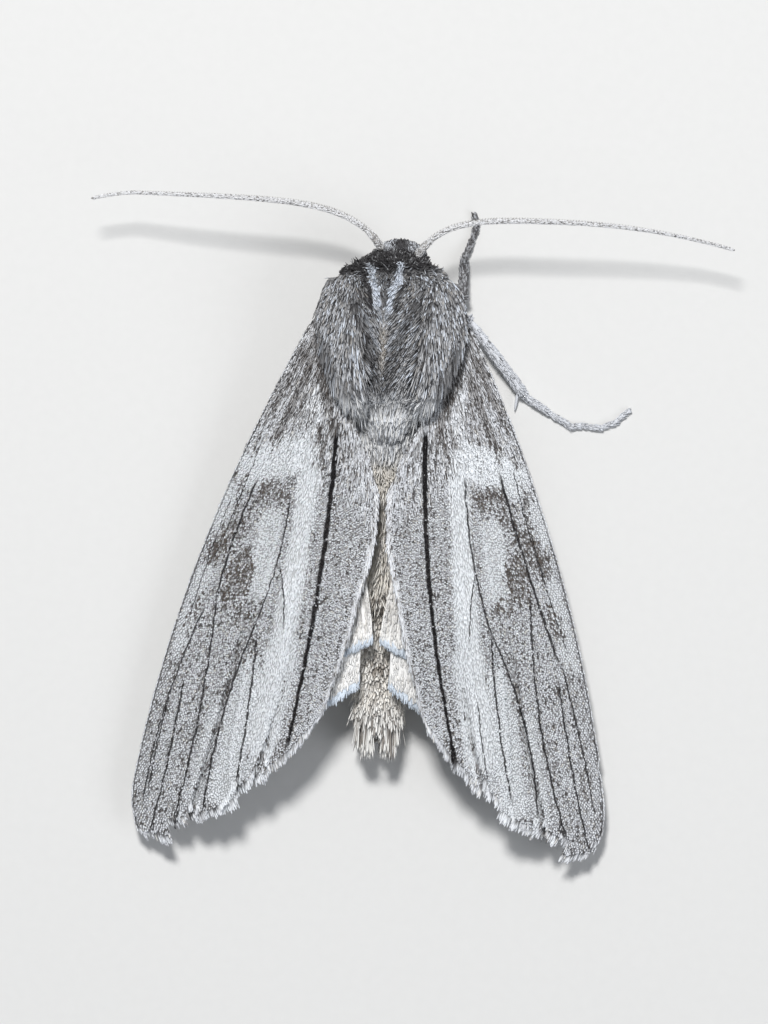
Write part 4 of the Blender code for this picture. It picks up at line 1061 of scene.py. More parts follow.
def tegulaPart(sign):
    rings = []
    angle = 2.0 * np.pi * np.arange(20) / 20
    for i in range(13):
        f = 0.80 * i / 12
        x, y, z, half, thick, tilt = tegulaAxis(f)
        half *= 0.90 * (1.0 - 0.45 * (i / 12) ** 3)
        across = half * np.cos(angle)
        px = x + across * math.cos(tilt)
        pz = z - across * math.sin(tilt) + 0.62 * thick * np.sin(angle)
        wingY = max(y, wingPlan["hingeY"])
        over = np.clip((px - rootEdgeX(wingY) + 0.86) / 0.4, 0.0, 1.0) if y > 2.8 else 0.0
        lowest = roofHeight(px, np.full_like(px, wingY)) + 0.32
        pz = blend(pz, np.maximum(pz, lowest), over)
        rings.append(np.stack([sign * px, np.full_like(px, y), pz], -1))
    return loftPart(rings)


def abdomenAxisX(y):
    return -0.26 * ease(13.0, 21.0, y)


def abdomenSize(y):
    f = (y - body["abdomenStart"]) / 12.0
    return (0.80 + 0.20 * ease(0.0, 0.25, f)) * (1.0 - 0.30 * ease(0.45, 1.0, f))


def abdomenPart():
    rings = []
    start = body["abdomenStart"]
    step = (body["abdomenEnd"] - start) / body["rings"]
    for i in range(body["rings"]):
        for f, swell in ((0.0, 0.97), (0.5, 1.0), (0.86, 1.02)):
            y = start + (i + f) * step
            size = abdomenSize(y) * swell
            z = blend(2.05, 1.75, (y - start) / 12.0)
            tall = body["halfHeight"] * size
            rings.append(ovalRing(abdomenAxisX(y), y, z, body["halfWidth"] * size, tall, tall))
    for f in (0.0, 0.5, 0.85, 1.0):
        y = body["abdomenEnd"] + 0.8 * f
        size = math.sqrt(max(0.03, 1.0 - f ** 2))
        rings.append(ovalRing(abdomenAxisX(y), y, 1.75, 0.86 * size, 0.62 * size, 0.62 * size))
    return loftPart(rings)


def thoraxLowPart():
    rings = []
    for i in range(15):
        f = i / 14
        size = math.sin(math.pi * blend(0.16, 0.80, f)) ** 0.6
        rings.append(ovalRing(0.0, blend(1.7, 8.3, f), 2.2 - 0.15 * f, 2.15 * size, 1.15 * size, 1.1 * size))
    return loftPart(rings)


def collarPart():
    rings = []
    turn = 2.0 * np.pi * np.arange(12) / 12
    for i in range(25):
        angle = math.pi * blend(0.05, 0.95, i / 24)
        x = 2.0 * math.cos(angle)
        z = 3.05 + 1.28 * math.sin(angle) ** 0.8
        y = 1.04 + 0.24 * abs(x) ** 1.3 + 0.52 * np.cos(turn)
        r = 0.28 * np.sin(turn)
        rings.append(np.stack([x + r * math.cos(angle), y, z + r * math.sin(angle) + 0.12 * (y - 1.0)], -1))
    return loftPart(rings)


def makeSkinSurface():
    # the parts are joined and smoothed at 1 unit for 1 mm, and come back as arrays
    parts = [
        ballPart((-0.26, 0.58, 2.72), (1.12, 0.80, 0.95)), ballPart((0.0, 1.36, 2.80), (1.70, 0.95, 1.30)),
        ballPart((1.38, 2.45, 3.98), (0.55, 1.10, 0.46)), ballPart((-1.38, 2.45, 3.98), (0.55, 1.10, 0.46)),
        thoraxLowPart(), collarPart(), tegulaPart(1.0), tegulaPart(-1.0), abdomenPart(),
        loftPart([humpRing(blend(1.75, 8.05, i / 14.0)) for i in range(15)]),
        ballPart((0.0, 8.5, 2.25), (1.25, 1.1, 1.15)),
    ]
    points, quads, triangles = gatherMeshes(parts)
    mesh = bpy.data.meshes.new("skinDraft")
    mesh.from_pydata(points.tolist(), [], quads.tolist() + triangles.tolist())
    draft = bpy.data.objects.new("skinDraft", mesh)
    bpy.context.scene.collection.objects.link(draft)
    grow = draft.modifiers.new("join", "REMESH")
    grow.mode = "VOXEL"
    grow.voxel_size = body["voxel"]
    soft = draft.modifiers.new("soft", "SMOOTH")
    soft.factor = body["smoothing"]
    soft.iterations = body["smoothRounds"]
    bpy.context.view_layer.update()
    whole = bpy.data.meshes.new_from_object(draft.evaluated_get(bpy.context.evaluated_depsgraph_get()))
    bpy.data.objects.remove(draft, do_unlink=True)
    co = np.empty(len(whole.vertices) * 3)
    whole.vertices.foreach_get("co", co)
    faces = [tuple(p.vertices) for p in whole.polygons]
    return (co.reshape(-1, 3), np.array([f for f in faces if len(f) == 4], int),
            np.array([f for f in faces if len(f) == 3], int).reshape(-1, 3))


def bodyUnwrap(points):
    # round the body in u, head to tail in v
    angle = np.arctan2(points[:, 0], points[:, 2] - 2.4)
    return np.stack([0.5 + 0.49 * angle / np.pi, 0.02 + 0.96 * (points[:, 1] + 1.2) / 24.5], -1)


# Where each colour of the body's coat lies; skin and tufts share this

furFinish = {
    "grey": (0.20, 0.20, 0.205), "pale": (0.60, 0.61, 0.63), "dark": (0.030, 0.028, 0.030),
    "stripe": (0.78, 0.84, 0.93), "cream": (0.52, 0.47, 0.40), "rear": (0.76, 0.80, 0.86),
    "shadeBlack": (0.010, 0.009, 0.010), "abdomen": (0.93, 0.89, 0.82), "abdomenDark": (0.15, 0.12, 0.095),
    "tail": (0.96, 0.95, 0.92), "belly": (0.60, 0.60, 0.61),
}

# The thorax's dark markings, and in the last two painted shade in the grooves between the shoulders and the
# wing roots: (start, end, half width, soft edge, strength)
darkMarksAndShade = (
    ((1.70, 2.4), (0.95, 4.2), 0.07, 0.28, 0.60), ((-1.10, 2.5), (-0.40, 4.2), 0.07, 0.28, 0.60),
    ((0.95, 4.2), (0.52, 6.3), 0.12, 0.40, 0.60), ((-0.40, 4.2), (0.08, 6.3), 0.12, 0.40, 0.60),
    ((1.24, 1.3), (1.02, 2.7), 0.06, 0.10, 0.90), ((-0.62, 1.3), (-0.22, 2.7), 0.04, 0.10, 0.65),
    ((0.33, 1.2), (0.36, 2.4), 0.16, 0.20, 0.50), ((1.75, 6.3), (1.45, 7.8), 0.08, 0.22, 0.50),
    ((-1.25, 6.5), (-1.00, 7.8), 0.08, 0.22, 0.50), ((0.30, 6.4), (0.28, 7.0), 0.45, 0.35, 0.40),
    ((2.85, 4.4), (2.65, 6.0), 0.08, 0.25, 0.45), ((-2.80, 4.4), (-2.55, 6.0), 0.08, 0.25, 0.45),
)
brightBands = (
    ((0.94, 1.08), (0.72, 2.60), 0.11, 0.10, 0.95), ((-0.28, 1.02), (0.06, 2.75), 0.11, 0.10, 0.95),
    ((0.72, 2.70), (0.44, 3.45), 0.04, 0.10, 0.5), ((0.08, 2.85), (0.30, 3.50), 0.04, 0.10, 0.4),
    ((1.30, 3.1), (0.55, 4.5), 0.02, 0.12, 0.30), ((-0.62, 3.2), (0.08, 4.4), 0.02, 0.12, 0.30),
)


def furPaint(name, isSkin=False):
    look = furFinish
    paint = Paint(name, 0.45, Specular_IOR_Level=0.38, Sheen_Weight=0.05)
    x, y, z = paint.split(paint.attribute("place", "Vector"))
    space = paint.join(x, y, z)
    tint = paint.noise(space, 14.0) if isSkin else paint.attribute("tint")
    second = paint.maths("FRACT", tint * 17.3)
    ragged = paint.noise(space, 3.0, 2.0) - 0.5
    x = x + ragged * 0.14 + (second - 0.5) * 0.06
    y = y + ragged * 0.25
    top = paint.ease(2.2, 3.2, z)

    # thorax from front to back
    lightness = 0.32 + paint.ease(2.6, 7.0, y) * 0.62
    lightness = lightness + paint.ease(1.4, 2.6, paint.maths("ABSOLUTE", x)) * 0.22
    grey = paint.mix(look["grey"], look["pale"], paint.clamp(paint.ease(0.15, 0.95, tint) * lightness * 1.6))
    grey = paint.mix(grey, look["cream"], paint.ease(0.86, 0.92, second) * 0.40)
    # some tufts are mixed towards silver-white and some towards near black: partly the hair's own silver and
    # dark tufts, partly painted highlights and painted shade in the gaps between tufts
    grey = paint.mix(grey, look["stripe"], paint.ease(0.82, 0.94, tint) * 0.95)
    grey = paint.mix(grey, look["dark"], (1.0 - paint.ease(0.08, 0.30, tint)) * 0.92)
    grey = paint.mix(grey, look["cream"], paint.stroke(x, y, (0.34, 3.4), (0.30, 5.2), 0.08, 0.30) * 0.50)
    grey = paint.mix(grey, look["dark"], paint.strokes(x, y, darkMarksAndShade))
    bright = paint.strokes(x, y, brightBands)
    stripe = paint.mix(look["stripe"], look["grey"], paint.ease(0.72, 0.85, second) * 0.7)
    grey = paint.mix(grey, stripe, bright)
    rear = paint.mix(look["rear"], look["tail"], tint)
    rear = paint.mix(rear, look["grey"], (1.0 - paint.ease(0.1, 0.30, second)) * 0.6)
    grey = paint.mix(grey, rear, paint.ease(6.1, 7.1, y) * 0.92)

    # the dark ruff behind the head, the pale crown between the feelers, and the dark face
    ruff = paint.mix(look["dark"], look["pale"], paint.ease(0.82, 0.96, tint) * 0.5)
    front = 1.0 - paint.ease(0.0, 0.35, y - 1.08 - x * 0.10)
    front = front * (1.0 - paint.ease(2.0, 2.7, paint.maths("ABSOLUTE", x - 0.15)))
    colour = paint.mix(grey, ruff, front * (1.0 - bright))
    crown = paint.mix(look["pale"], look["stripe"], tint * 0.5)
    crown = paint.mix(crown, look["dark"], 1.0 - paint.ease(0.25, 0.60, tint))
    middle = paint.ease(0.15, 0.42, paint.maths("ABSOLUTE", x + 0.27))
    crown = paint.mix(look["dark"], crown, middle * 0.90 + 0.05)
    colour = paint.mix(colour, crown, (1.0 - paint.ease(0.20, 0.48, y)) * paint.ease(2.9, 3.2, z))
    belly = paint.mix(look["belly"], look["pale"], tint)
    colour = paint.mix(colour, belly, (1.0 - top) * paint.ease(1.3, 2.0, y))

    # the abdomen's cream and brown-grey scales, and the pale tuft at its end
    speck = paint.ease(0.40, 0.52, paint.noise(space, 3.0, 3.0) * 0.6 + second * 0.4)
    scaly = paint.mix(look["abdomen"], look["tail"], paint.ease(0.2, 0.9, tint) * 0.7)
    scaly = paint.mix(scaly, look["abdomenDark"], (1.0 - speck) * (0.22 + paint.ease(14.0, 16.5, y) * 0.18))
    waist = paint.most(paint.spot(x, y, (0.05, 15.5), 0.8, 0.6), paint.spot(x, y, (-0.15, 18.4), 0.9, 0.5))
    scaly = paint.mix(scaly, look["abdomenDark"], waist * paint.ease(0.3, 0.7, 1.0 - tint) * 0.8)
    atTail = paint.ease(19.6, 20.6, y)
    scaly = paint.mix(scaly, look["tail"], atTail * 0.85)
    scaly = paint.mix(scaly, look["abdomenDark"], (1.0 - paint.ease(0.12, 0.34, second)) * atTail * 0.8)
    colour = paint.mix(colour, scaly, paint.ease(8.9, 9.6, y))
    if isSkin:
        # the skin under the coat is darkened: painted shade in the gaps between the tufts
        colour = paint.mix(colour, look["shadeBlack"], 0.45)
        height = paint.noise(space, 16.0, 3.0)
        return paint.finish(colour, height, 0.00006, 0.8)
    along = paint.attribute("along")
    # painted shade at each tuft's root, weaker over the abdomen
    shade = 0.94 - paint.ease(8.6, 9.6, y) * 0.72 + paint.ease(15.0, 16.5, y) * 0.10 + atTail * 0.34
    colour = paint.mix(colour, look["shadeBlack"], (1.0 - paint.ease(0.05, 0.90, along)) * shade)
    return paint.finish(colour)


print("stage: body skin")
skinPoints, skinQuads, skinTriangles = makeSkinSurface()
skinPaint = furPaint("bodySkin", True)
skinUv = bodyUnwrap(skinPoints)
cornerUv = np.concatenate([skinUv[skinQuads.ravel()], skinUv[skinTriangles.ravel()]])
faceUv = cornerUv[:skinQuads.size].reshape(-1, 4, 2)
wraps = np.ptp(faceUv[:, :, 0], axis=1) > 0.5
faceUv[wraps, :, 0] = np.where(faceUv[wraps, :, 0] < 0.5, faceUv[wraps, :, 0].max(axis=1, keepdims=True),
                               faceUv[wraps, :, 0])
cornerUv[:skinQuads.size] = faceUv.reshape(-1, 2)
makePiece("bodySkin", skinPoints, [skinQuads, skinTriangles], skinPaint,
          ("thorax", "abdomen", "head"), None, {"place": skinPoints}, cornerUv)
skinTree = BVHTree.FromPolygons(skinPoints.tolist(), skinQuads.tolist() + skinTriangles.tolist())

# The coat's growing points: spread over the skin's faces by area, from a fixed seed
skinA, skinB, skinC, skinD = (skinPoints[skinQuads[:, k]] for k in range(4))
faceMiddle = 0.25 * (skinA + skinB + skinC + skinD)
faceNormal = np.cross(skinC - skinA, skinD - skinB)
faceArea = 0.5 * np.linalg.norm(faceNormal, axis=1)
faceNormal = unit(faceNormal)
if np.mean(np.sum(faceNormal * (faceMiddle - faceMiddle.mean(0)), axis=1)) < 0:
    faceNormal = -faceNormal


def growRoots(rng, share, perSquare):
    # random roots on the skin; share is how thick the coat grows at each face, from 0 to 1
    weight = faceArea * share
    count = int(weight.sum() * perSquare)
    chosen = rng.choice(len(weight), count, p=weight / weight.sum())
    u = rng.uniform(0.0, 1.0, (count, 1))
    v = rng.uniform(0.0, 1.0, (count, 1))
    roots = blend(blend(skinA[chosen], skinB[chosen], u), blend(skinD[chosen], skinC[chosen], u), v)
    return roots, faceNormal[chosen]


def tegulaEdge(y):
    # how far from the midline the shoulder tufts begin
    return np.interp(y, (1.1, 1.6, 2.5, 4.0, 6.0, 7.6, 8.6), (1.75, 1.45, 1.40, 1.40, 1.15, 0.85, 0.7))


# Each kind of coat: tufts on a square millimetre, and a tuft's length, width, rise at its tip and thickness
coats = {
    "shoulder": {"perSquare": 290, "length": 1.30, "width": 0.060, "lift": 0.22, "thickness": 0.030},
    "back": {"perSquare": 330, "length": 0.75, "width": 0.056, "lift": 0.20, "thickness": 0.030},
    "rear": {"perSquare": 260, "length": 1.75, "width": 0.060, "lift": 0.30, "thickness": 0.028},
    "ruff": {"perSquare": 440, "length": 0.42, "width": 0.050, "lift": 0.20, "thickness": 0.026},
    "crown": {"perSquare": 380, "length": 0.30, "width": 0.060, "lift": 0.16, "thickness": 0.026},
    "face": {"perSquare": 170, "length": 0.30, "width": 0.070, "lift": 0.05, "thickness": 0.024},
    "belly": {"perSquare": 58, "length": 0.90, "width": 0.080, "lift": 0.18, "thickness": 0.030},
    "abdomen": {"perSquare": 105, "length": 0.42, "width": 0.125, "lift": 0.16, "thickness": 0.022},
    "crest": {"perSquare": 160, "length": 1.30, "width": 0.065, "lift": 0.60, "thickness": 0.026},
    "tail": {"perSquare": 150, "length": 0.85, "width": 0.095, "lift": 0.16, "thickness": 0.026},
}

px, py, pz = faceMiddle.T
upward = ease(-0.05, 0.35, faceNormal[:, 2])
overBody = (py > 1.5) & (py < 8.9)
onTop = ease(2.5, 3.1, pz)
outer = np.abs(px) > tegulaEdge(py)

# The coat's front edge seen from above, from the right shoulder over the brow to the left one
coatFront = (
    (-3.5, 3.2), (-3.16, 1.78), (-2.43, 1.10), (-1.71, 0.70), (-1.20, 0.22), (-0.98, -0.02), (-0.62, -0.14),
    (-0.20, -0.24), (0.33, -0.12), (0.66, 0.12), (1.52, 0.60), (2.45, 1.12), (2.80, 1.33), (3.24, 2.12),
    (3.5, 3.3),
)

# The brush at the tail: where it starts and ends, and how ragged, cleft and rounded its end is
brush = {"start": 20.2, "end": 22.45, "ragged": 0.75, "cleft": 0.95, "rounding": 0.60}

# Behind droopFrom the long hair sinks towards the wings, and stops overWing above them
fall = {"droopFrom": 6.7, "droop": 0.60, "power": 1.4, "overWing": 0.24, "highest": 5.68}


def coatFrontY(x):
    return np.interp(x, *zip(*coatFront))


def brushLengths(roots, rng):
    # the tail's tufts reach a ragged end that is rounded at the sides and cleft in the middle
    lengths = coats["tail"]["length"] * rng.uniform(0.4, 1.4, len(roots))
    across = np.abs(roots[:, 0] - abdomenAxisX(roots[:, 1]))
    tips = brush["end"] - brush["ragged"] * rng.uniform(0, 1, len(roots)) ** 1.5
    tips = tips - brush["cleft"] * (1.0 - ease(0.10, 0.38, across))
    tips = tips - brush["rounding"] * ease(0.70, 1.10, across)
    return np.where(roots[:, 1] > brush["start"], np.maximum(0.25, tips - roots[:, 1]), lengths)


def drape(paths):
    # heights of the long hair once it hangs over the wings' roots and behind the shoulders
    x, y, z = paths.transpose(2, 0, 1)
    droop = fall["droop"] * np.maximum(0.0, y - fall["droopFrom"]) ** fall["power"]
    bed = np.minimum(roofHeight(np.abs(x), y) + fall["overWing"], z)
    over = ease(-0.5, 0.2, np.abs(x) - rootEdgeX(y)) * ease(3.6, 5.0, y)
    along = np.array([f for f, _ in tuftShape[4]])
    lowered = blend(z, bed, over * along ** 2 * 0.30) - (droop - droop[:, :1])
    return np.minimum(np.maximum(lowered, bed), fall["highest"])


def combCoat(kind, share, flowOf, seed, slot, follow=True, label=""):
    look = coats[kind]
    rng = np.random.default_rng(seed)
    if kind != "face":
        share = share * np.where((pz > 2.6) & (py < coatFrontY(px) + 0.10), 0.0, 1.0)
    roots, normals = growRoots(rng, share, look["perSquare"])
    count = len(roots)
    flows = flowOf(roots, rng)
    young = blend(0.34, 1.0, ease(1.4, 5.5, roots[:, 1])) if kind == "shoulder" else 1.0
    lengths = look["length"] * rng.uniform(0.65, 1.15, count) * young
    lifts = look["lift"] * rng.uniform(0.30, 1.30, count) * young
    if kind == "tail":
        paths, ups = tuftPaths(roots, normals, flows, brushLengths(roots, rng), lifts, 4, free=True)
    else:
        paths, ups = tuftPaths(roots, normals, flows, lengths, lifts, 4, skinTree if follow else None)
    paths[:, :, 2] = np.maximum(paths[:, :, 2], 0.05)
    if kind in ("shoulder", "rear", "back"):
        paths[:, :, 2] = drape(paths)
    free = paths[:, :, 1].copy()
    if kind in ("ruff", "shoulder", "crown"):
        edge = coatFrontY(paths[:, :, 0]) - rng.uniform(0.0, 0.10, (count, 1))
        paths[:, :, 1] = np.maximum(paths[:, :, 1], np.where(paths[:, :, 2] > 2.6, edge, -9.0))
    widths = look["width"] * rng.uniform(0.65, 1.3, count)
    tints = rng.uniform(0.0, 1.0, count)
    # tufts bent far out of the lie are left out
    keep = (paths[:, :, 1] - free).max(axis=1) < 0.30
    if kind in ("shoulder", "rear", "back"):
        keep &= np.sum(unit(paths[:, -1] - paths[:, 0]) * unit(flows), axis=1) > 0.45
    makeCoat(kind + "Coat" + label, paths[keep], ups[keep], widths[keep], look["thickness"],
             bodyUnwrap(roots[keep]), tints[keep], coatPaint)


def lieOf(rng, count, x, y, z, loose):
    # the tufts' directions, and how loosely they keep to them
    lie = np.stack([np.broadcast_to(part, (count,)) for part in (x, y, z)], -1)
    return lie + rng.normal(0.0, 1.0, (count, 3)) * np.reshape(loose, (-1, 1))


def shoulderFlow(roots, rng):
    x, y, _ = roots.T
    inward = -np.sign(x) * (0.02 + 0.30 * ease(2.0, 7.5, y) - 0.10 * (np.abs(x) - 2.2))
    return lieOf(rng, len(x), inward, 1.0, 0.0, blend(0.06, 0.035, ease(2.0, 4.5, y)))


def backFlow(roots, rng):
    x, y, _ = roots.T
    toMiddle = -np.tanh((x - 0.30) / 0.35) * (0.75 * (1.0 - ease(5.2, 7.0, y)))
    return lieOf(rng, len(x), toMiddle + 0.12 * x * ease(6.5, 8.0, y), 1.0, 0.0, 0.05)


def ruffFlow(roots, rng):
    x, y, _ = roots.T
    return lieOf(rng, len(x), 0.14 * x, np.where(y > 1.15, 0.55, -0.30), 0.0, 0.36)


def crownFlow(roots, rng):
    x, _, _ = roots.T
    return lieOf(rng, len(x), 0.4 * (x + 0.27), -1.0, 0.4, 0.30)


def faceFlow(roots, rng):
    return lieOf(rng, len(roots), 0.0, 0.1, -1.0, 0.12)


def backward(roots, rng):
    return lieOf(rng, len(roots), 0.0, 1.0, 0.0, 0.16)


def tailFlow(roots, rng):
    x, y, _ = roots.T
    across = x - abdomenAxisX(y)
    # the brush at the end draws together into two bunches
    bunch = 0.85 * blend(across, 0.45 * np.sign(across), 0.4)
    aside = blend(0.05 * np.sign(across), (bunch - across) / 1.3, ease(19.8, 20.6, y))
    return lieOf(rng, len(x), aside, 1.0, -0.04, 0.07)


print("stage: body coat")
coatPaint = furPaint("bodyCoat")
shoulders = outer & (py > 1.15 + 0.35 * ease(1.9, 1.4, np.abs(px))) & (py < 8.9)
for coatSide, coatSign in sides:
    share = np.where(shoulders & (px * coatSign > 0), onTop * (0.35 + 0.65 * upward), 0.0)
    combCoat("shoulder", share, shoulderFlow, 61 + (coatSign > 0), "grey_coat", True, coatSide.capitalize())

ruffed = (py > 0.35) & (py < 1.70 - 0.45 * ease(1.1, 2.1, np.abs(px)))
crested = (py > 8.2) & (py < 15.0) & (np.abs(px) < 1.0)
tailGap = 1.0 - 0.8 * hill(px + 0.05, 0.0, 0.13) * ease(20.5, 20.8, py) * (pz > 1.7)

# kind, how thick it grows on each face, its lie, seed, slot, and whether its tufts follow the skin's curve
coatPlan = (
    ("back", np.where(overBody & ~outer & (py < 7.4), onTop * upward, 0.0), backFlow, 63, "grey_coat", True),
    ("rear", np.where((py > 6.3) & (py < 8.9) & (np.abs(px) < 1.5), onTop * upward, 0.0), backFlow, 64,
     "grey_coat", True),
    ("ruff", np.where(ruffed, ease(2.7, 3.3, pz) * ease(2.45, 1.95, np.abs(px)), 0.0), ruffFlow, 65,
     "grey_coat", True),
    ("crown", np.where(py < 0.5, ease(2.9, 3.3, pz), 0.0), crownFlow, 66, "head_coat", True),
    ("face", np.where(py < 1.2, 1.0 - ease(2.9, 3.3, pz), 0.0), faceFlow, 67, "head_coat", False),
    ("belly", np.where((py > 1.0) & (py < 9.0), 1.0 - onTop * 0.9, 0.0), backward, 68, "grey_coat", True),
    ("abdomen", np.where((py > 8.4) & (py < 20.3), 0.3 + 0.7 * upward, 0.0), backward, 69,
     "abdomen_coat", False),
    ("crest", np.where(crested, upward * ease(2.4, 2.9, pz), 0.0), backward, 71, "abdomen_coat", True),
    ("tail", np.where(py > 18.9, 0.25 + 0.75 * ease(18.9, 20.2, py), 0.0) * tailGap, tailFlow, 70,
     "abdomen_coat", True),
)
for coat in coatPlan:
    combCoat(*coat)


# Eyes: dark, glossy, with fine facets

def eyePaint():
    paint = Paint("eyeSurface", 0.16, Specular_IOR_Level=0.45, Coat_Weight=0.15)
    space = paint.node("ShaderNodeTexCoord", None, None, "Object")
    cells = paint.cells(space, "Distance", 1.0 / (eye["facet"] * mm))
    patchy = paint.noise(space, 1800.0)
    colour = paint.mix((0.006, 0.005, 0.005), (0.022, 0.015, 0.011), patchy)
    return paint.finish(colour, cells * -1.0, 0.000012, 0.6)


print("stage: eyes")
eyeMaterial = eyePaint()
for eyeSide, eyeSign in sides:
    eyeMiddle = np.array(eye["shown"]) * (eyeSign, 1.0, 1.0)
    points, quads, triangles = ballPart(eyeMiddle, np.array(eye["half"]) * eye["size"], 64, 40)
    makePiece("eye" + eyeSide.capitalize(), points, [quads, triangles], eyeMaterial,
              ("eye_" + eyeSide,))


# Feelers: silvery scales above, bare and toothed along the front edge

antennaFinish = {
    "silver": (0.92, 0.93, 0.96), "grey": (0.70, 0.70, 0.70), "dark": (0.08, 0.07, 0.065),
    "core": (0.44, 0.43, 0.42), "coreDark": (0.20, 0.19, 0.18),
}
antenna = {
    "radius": 0.110, "tipRadius": 0.050, "rings": 110, "tooth": 0.12, "corners": 12, "scales": 2500,
    "scaleWidth": 0.062, "scaleThickness": 0.010,
    "left": {"root": (0.86, -0.14, 3.78), "reach": 13.28, "forward": 1.54, "bend": 1.5,
             "hook": 0.34, "hookFrom": 0.84, "hookPower": 1.6},
    "right": {"root": (1.20, 0.13, 3.74), "reach": 14.72, "forward": 1.39, "bend": 1.15,
              "hook": 0.80, "hookFrom": 0.45, "hookPower": 2.2},
}


def antennaPath(side, f):
    # f below 0 runs on through the base joint into the head
    look = antenna[side]
    inward = np.maximum(0.0, -f)
    f = np.maximum(f, 0.0)
    rootX, rootY, rootZ = look["root"]
    x = blend(rootX, look["reach"], f)
    y = rootY - look["forward"] * (1.0 - np.exp(-(x - rootX) / look["bend"]))
    late = np.maximum(0.0, f - look["hookFrom"]) / (1.0 - look["hookFrom"])
    y = y + look["hook"] * late ** look["hookPower"]
    z = rootZ + 0.55 * np.sin(np.pi * np.minimum(1.0, f * 1.15)) - 0.55 * f * f
    x = x - 9.0 * inward
    y = y + 12.0 * inward
    z = z - 12.0 * inward
    return np.stack([dict(sides)[side] * x, y, z], -1)


def antennaPaint(name, isCoat=False):
    look = antennaFinish
    paint = Paint(name, 0.45, Specular_IOR_Level=0.4, Sheen_Weight=0.1)
    if isCoat:
        tint = paint.attribute("tint")
        along = paint.attribute("along")
        colour = paint.mix(look["silver"], look["grey"], tint)
        colour = paint.mix(colour, look["dark"], (1.0 - paint.ease(0.07, 0.15, tint)) * 0.8)
        # painted shade at each scale's root
        return paint.finish(paint.mix(colour, look["dark"], (1.0 - paint.ease(0.1, 0.6, along)) * 0.4))
    _, turn, ring = paint.split(paint.attribute("place", "Vector"))
    cell = paint.join(ring * 3.0, turn * 7.0)
    chance, _, _ = paint.split(paint.cells(cell, "Color"))
    colour = paint.mix(look["core"], look["coreDark"], chance)
    return paint.finish(colour, paint.cells(cell) * -1.0, 0.00002, 0.6)


def makeAntenna(side, material, hair):
    corners = antenna["corners"]
    rings = antenna["rings"]
    steps = 3
    f = np.concatenate([(-0.034, -0.026, -0.018, -0.009), np.linspace(0.0, 1.0, rings * steps + 1) ** 1.05])
    phase = np.arange(len(f)) % steps
    radius = blend(antenna["radius"], antenna["tipRadius"], ease(0.15, 1.0, f))
    radius = radius * np.where(phase == 0, 0.86, np.where(phase == 1, 1.02, 1.06))
    radius = radius * (1.0 + 0.55 * (1.0 - ease(0.004, 0.026, f)))
    radius[-1] = 0.02
    centres = antennaPath(side, f)
    height = np.sin(2.0 * np.pi * np.arange(corners) / corners)
    place = np.stack([np.repeat(f, corners), np.tile(height, len(f)),
                      np.repeat(np.arange(len(f)) / steps, corners)], -1)
    parts = [tubeMesh(centres, radius, corners)]
    places = [place, place[:1], place[-1:]]
    teeth = f[10:-4:steps]
    at = antennaPath(side, teeth)
    heading = unit(np.gradient(at, axis=0))
    forward = unit(np.cross(heading, (0.0, 0.0, 1.0)))
    forward = forward * np.sign(-forward[:, 1:2])
    thick = blend(antenna["radius"], antenna["tipRadius"], ease(0.15, 1.0, teeth))
    for k in range(len(teeth)):
        long = antenna["tooth"] * (1.0 - 0.5 * teeth[k])
        for lean, drop in ((0.25, -0.35), (-0.15, -0.75)):
            way = unit(forward[k] + heading[k] * lean + np.array((0.0, 0.0, drop)))
            start = at[k] + way * thick[k] * 0.7
            path = start + way * np.linspace(0.0, long, 3)[:, None]
            tooth = tubeMesh(path, (0.032, 0.020, 0.004), 4)
            parts.append(tooth)
            places.append(np.tile((teeth[k], -0.8, k * 1.0), (len(tooth[0]), 1)))
    points, quads, triangles = gatherMeshes(parts)
    makePiece("antenna" + side.capitalize(), points, [quads, triangles], material,
              ("antenna_" + side,), None, {"place": np.concatenate(places)})

    # flat scales on the upper and rear sides
    rng = seeded(11, dict(sides)[side])
    count = antenna["scales"]
    pick = np.sort(-0.030 + 1.015 * rng.uniform(0.0, 1.0, count) ** 1.2)
    angle = rng.uniform(-0.35 * np.pi, 0.85 * np.pi, count)
    angle = np.where(pick < 0.035, rng.uniform(-np.pi, np.pi, count), angle)
    middle = antennaPath(side, pick)
    heading = unit(antennaPath(side, pick + 0.003) - middle)
    rearward = unit(np.cross((0.0, 0.0, 1.0), heading))
    rearward = rearward * np.sign(rearward[:, 1:2])
    over = np.array((0.0, 0.0, 1.0)) - heading * heading[:, 2:3]
    out = unit(rearward * np.cos(angle)[:, None] + unit(over) * np.sin(angle)[:, None])
    reach = np.interp(pick, f, radius)
    roots = middle + out * reach[:, None] * 0.95
    flows = heading + rng.normal(0, 0.10, (count, 3))
    lengths = rng.uniform(0.10, 0.17, count)
    lifts = rng.uniform(0.010, 0.030, count)
    paths, ups = tuftPaths(roots, out, flows, lengths, lifts, 4, None, 0.01, 1.0)
    uv = np.stack([0.05 + 0.93 * pick, 0.1 + 0.2 * (angle + 1.2)], -1)
    widths = antenna["scaleWidth"] * rng.uniform(0.7, 1.2, count)
    makeCoat("antennaScales" + side.capitalize(), paths, ups, widths, antenna["scaleThickness"], uv,
             rng.uniform(0, 1, count), hair, 0.5)


print("stage: feelers")
antennaMaterial = antennaPaint("antennaCore")
antennaHair = antennaPaint("antennaScales", True)
for antennaSide, _ in sides:
    makeAntenna(antennaSide, antennaMaterial, antennaHair)
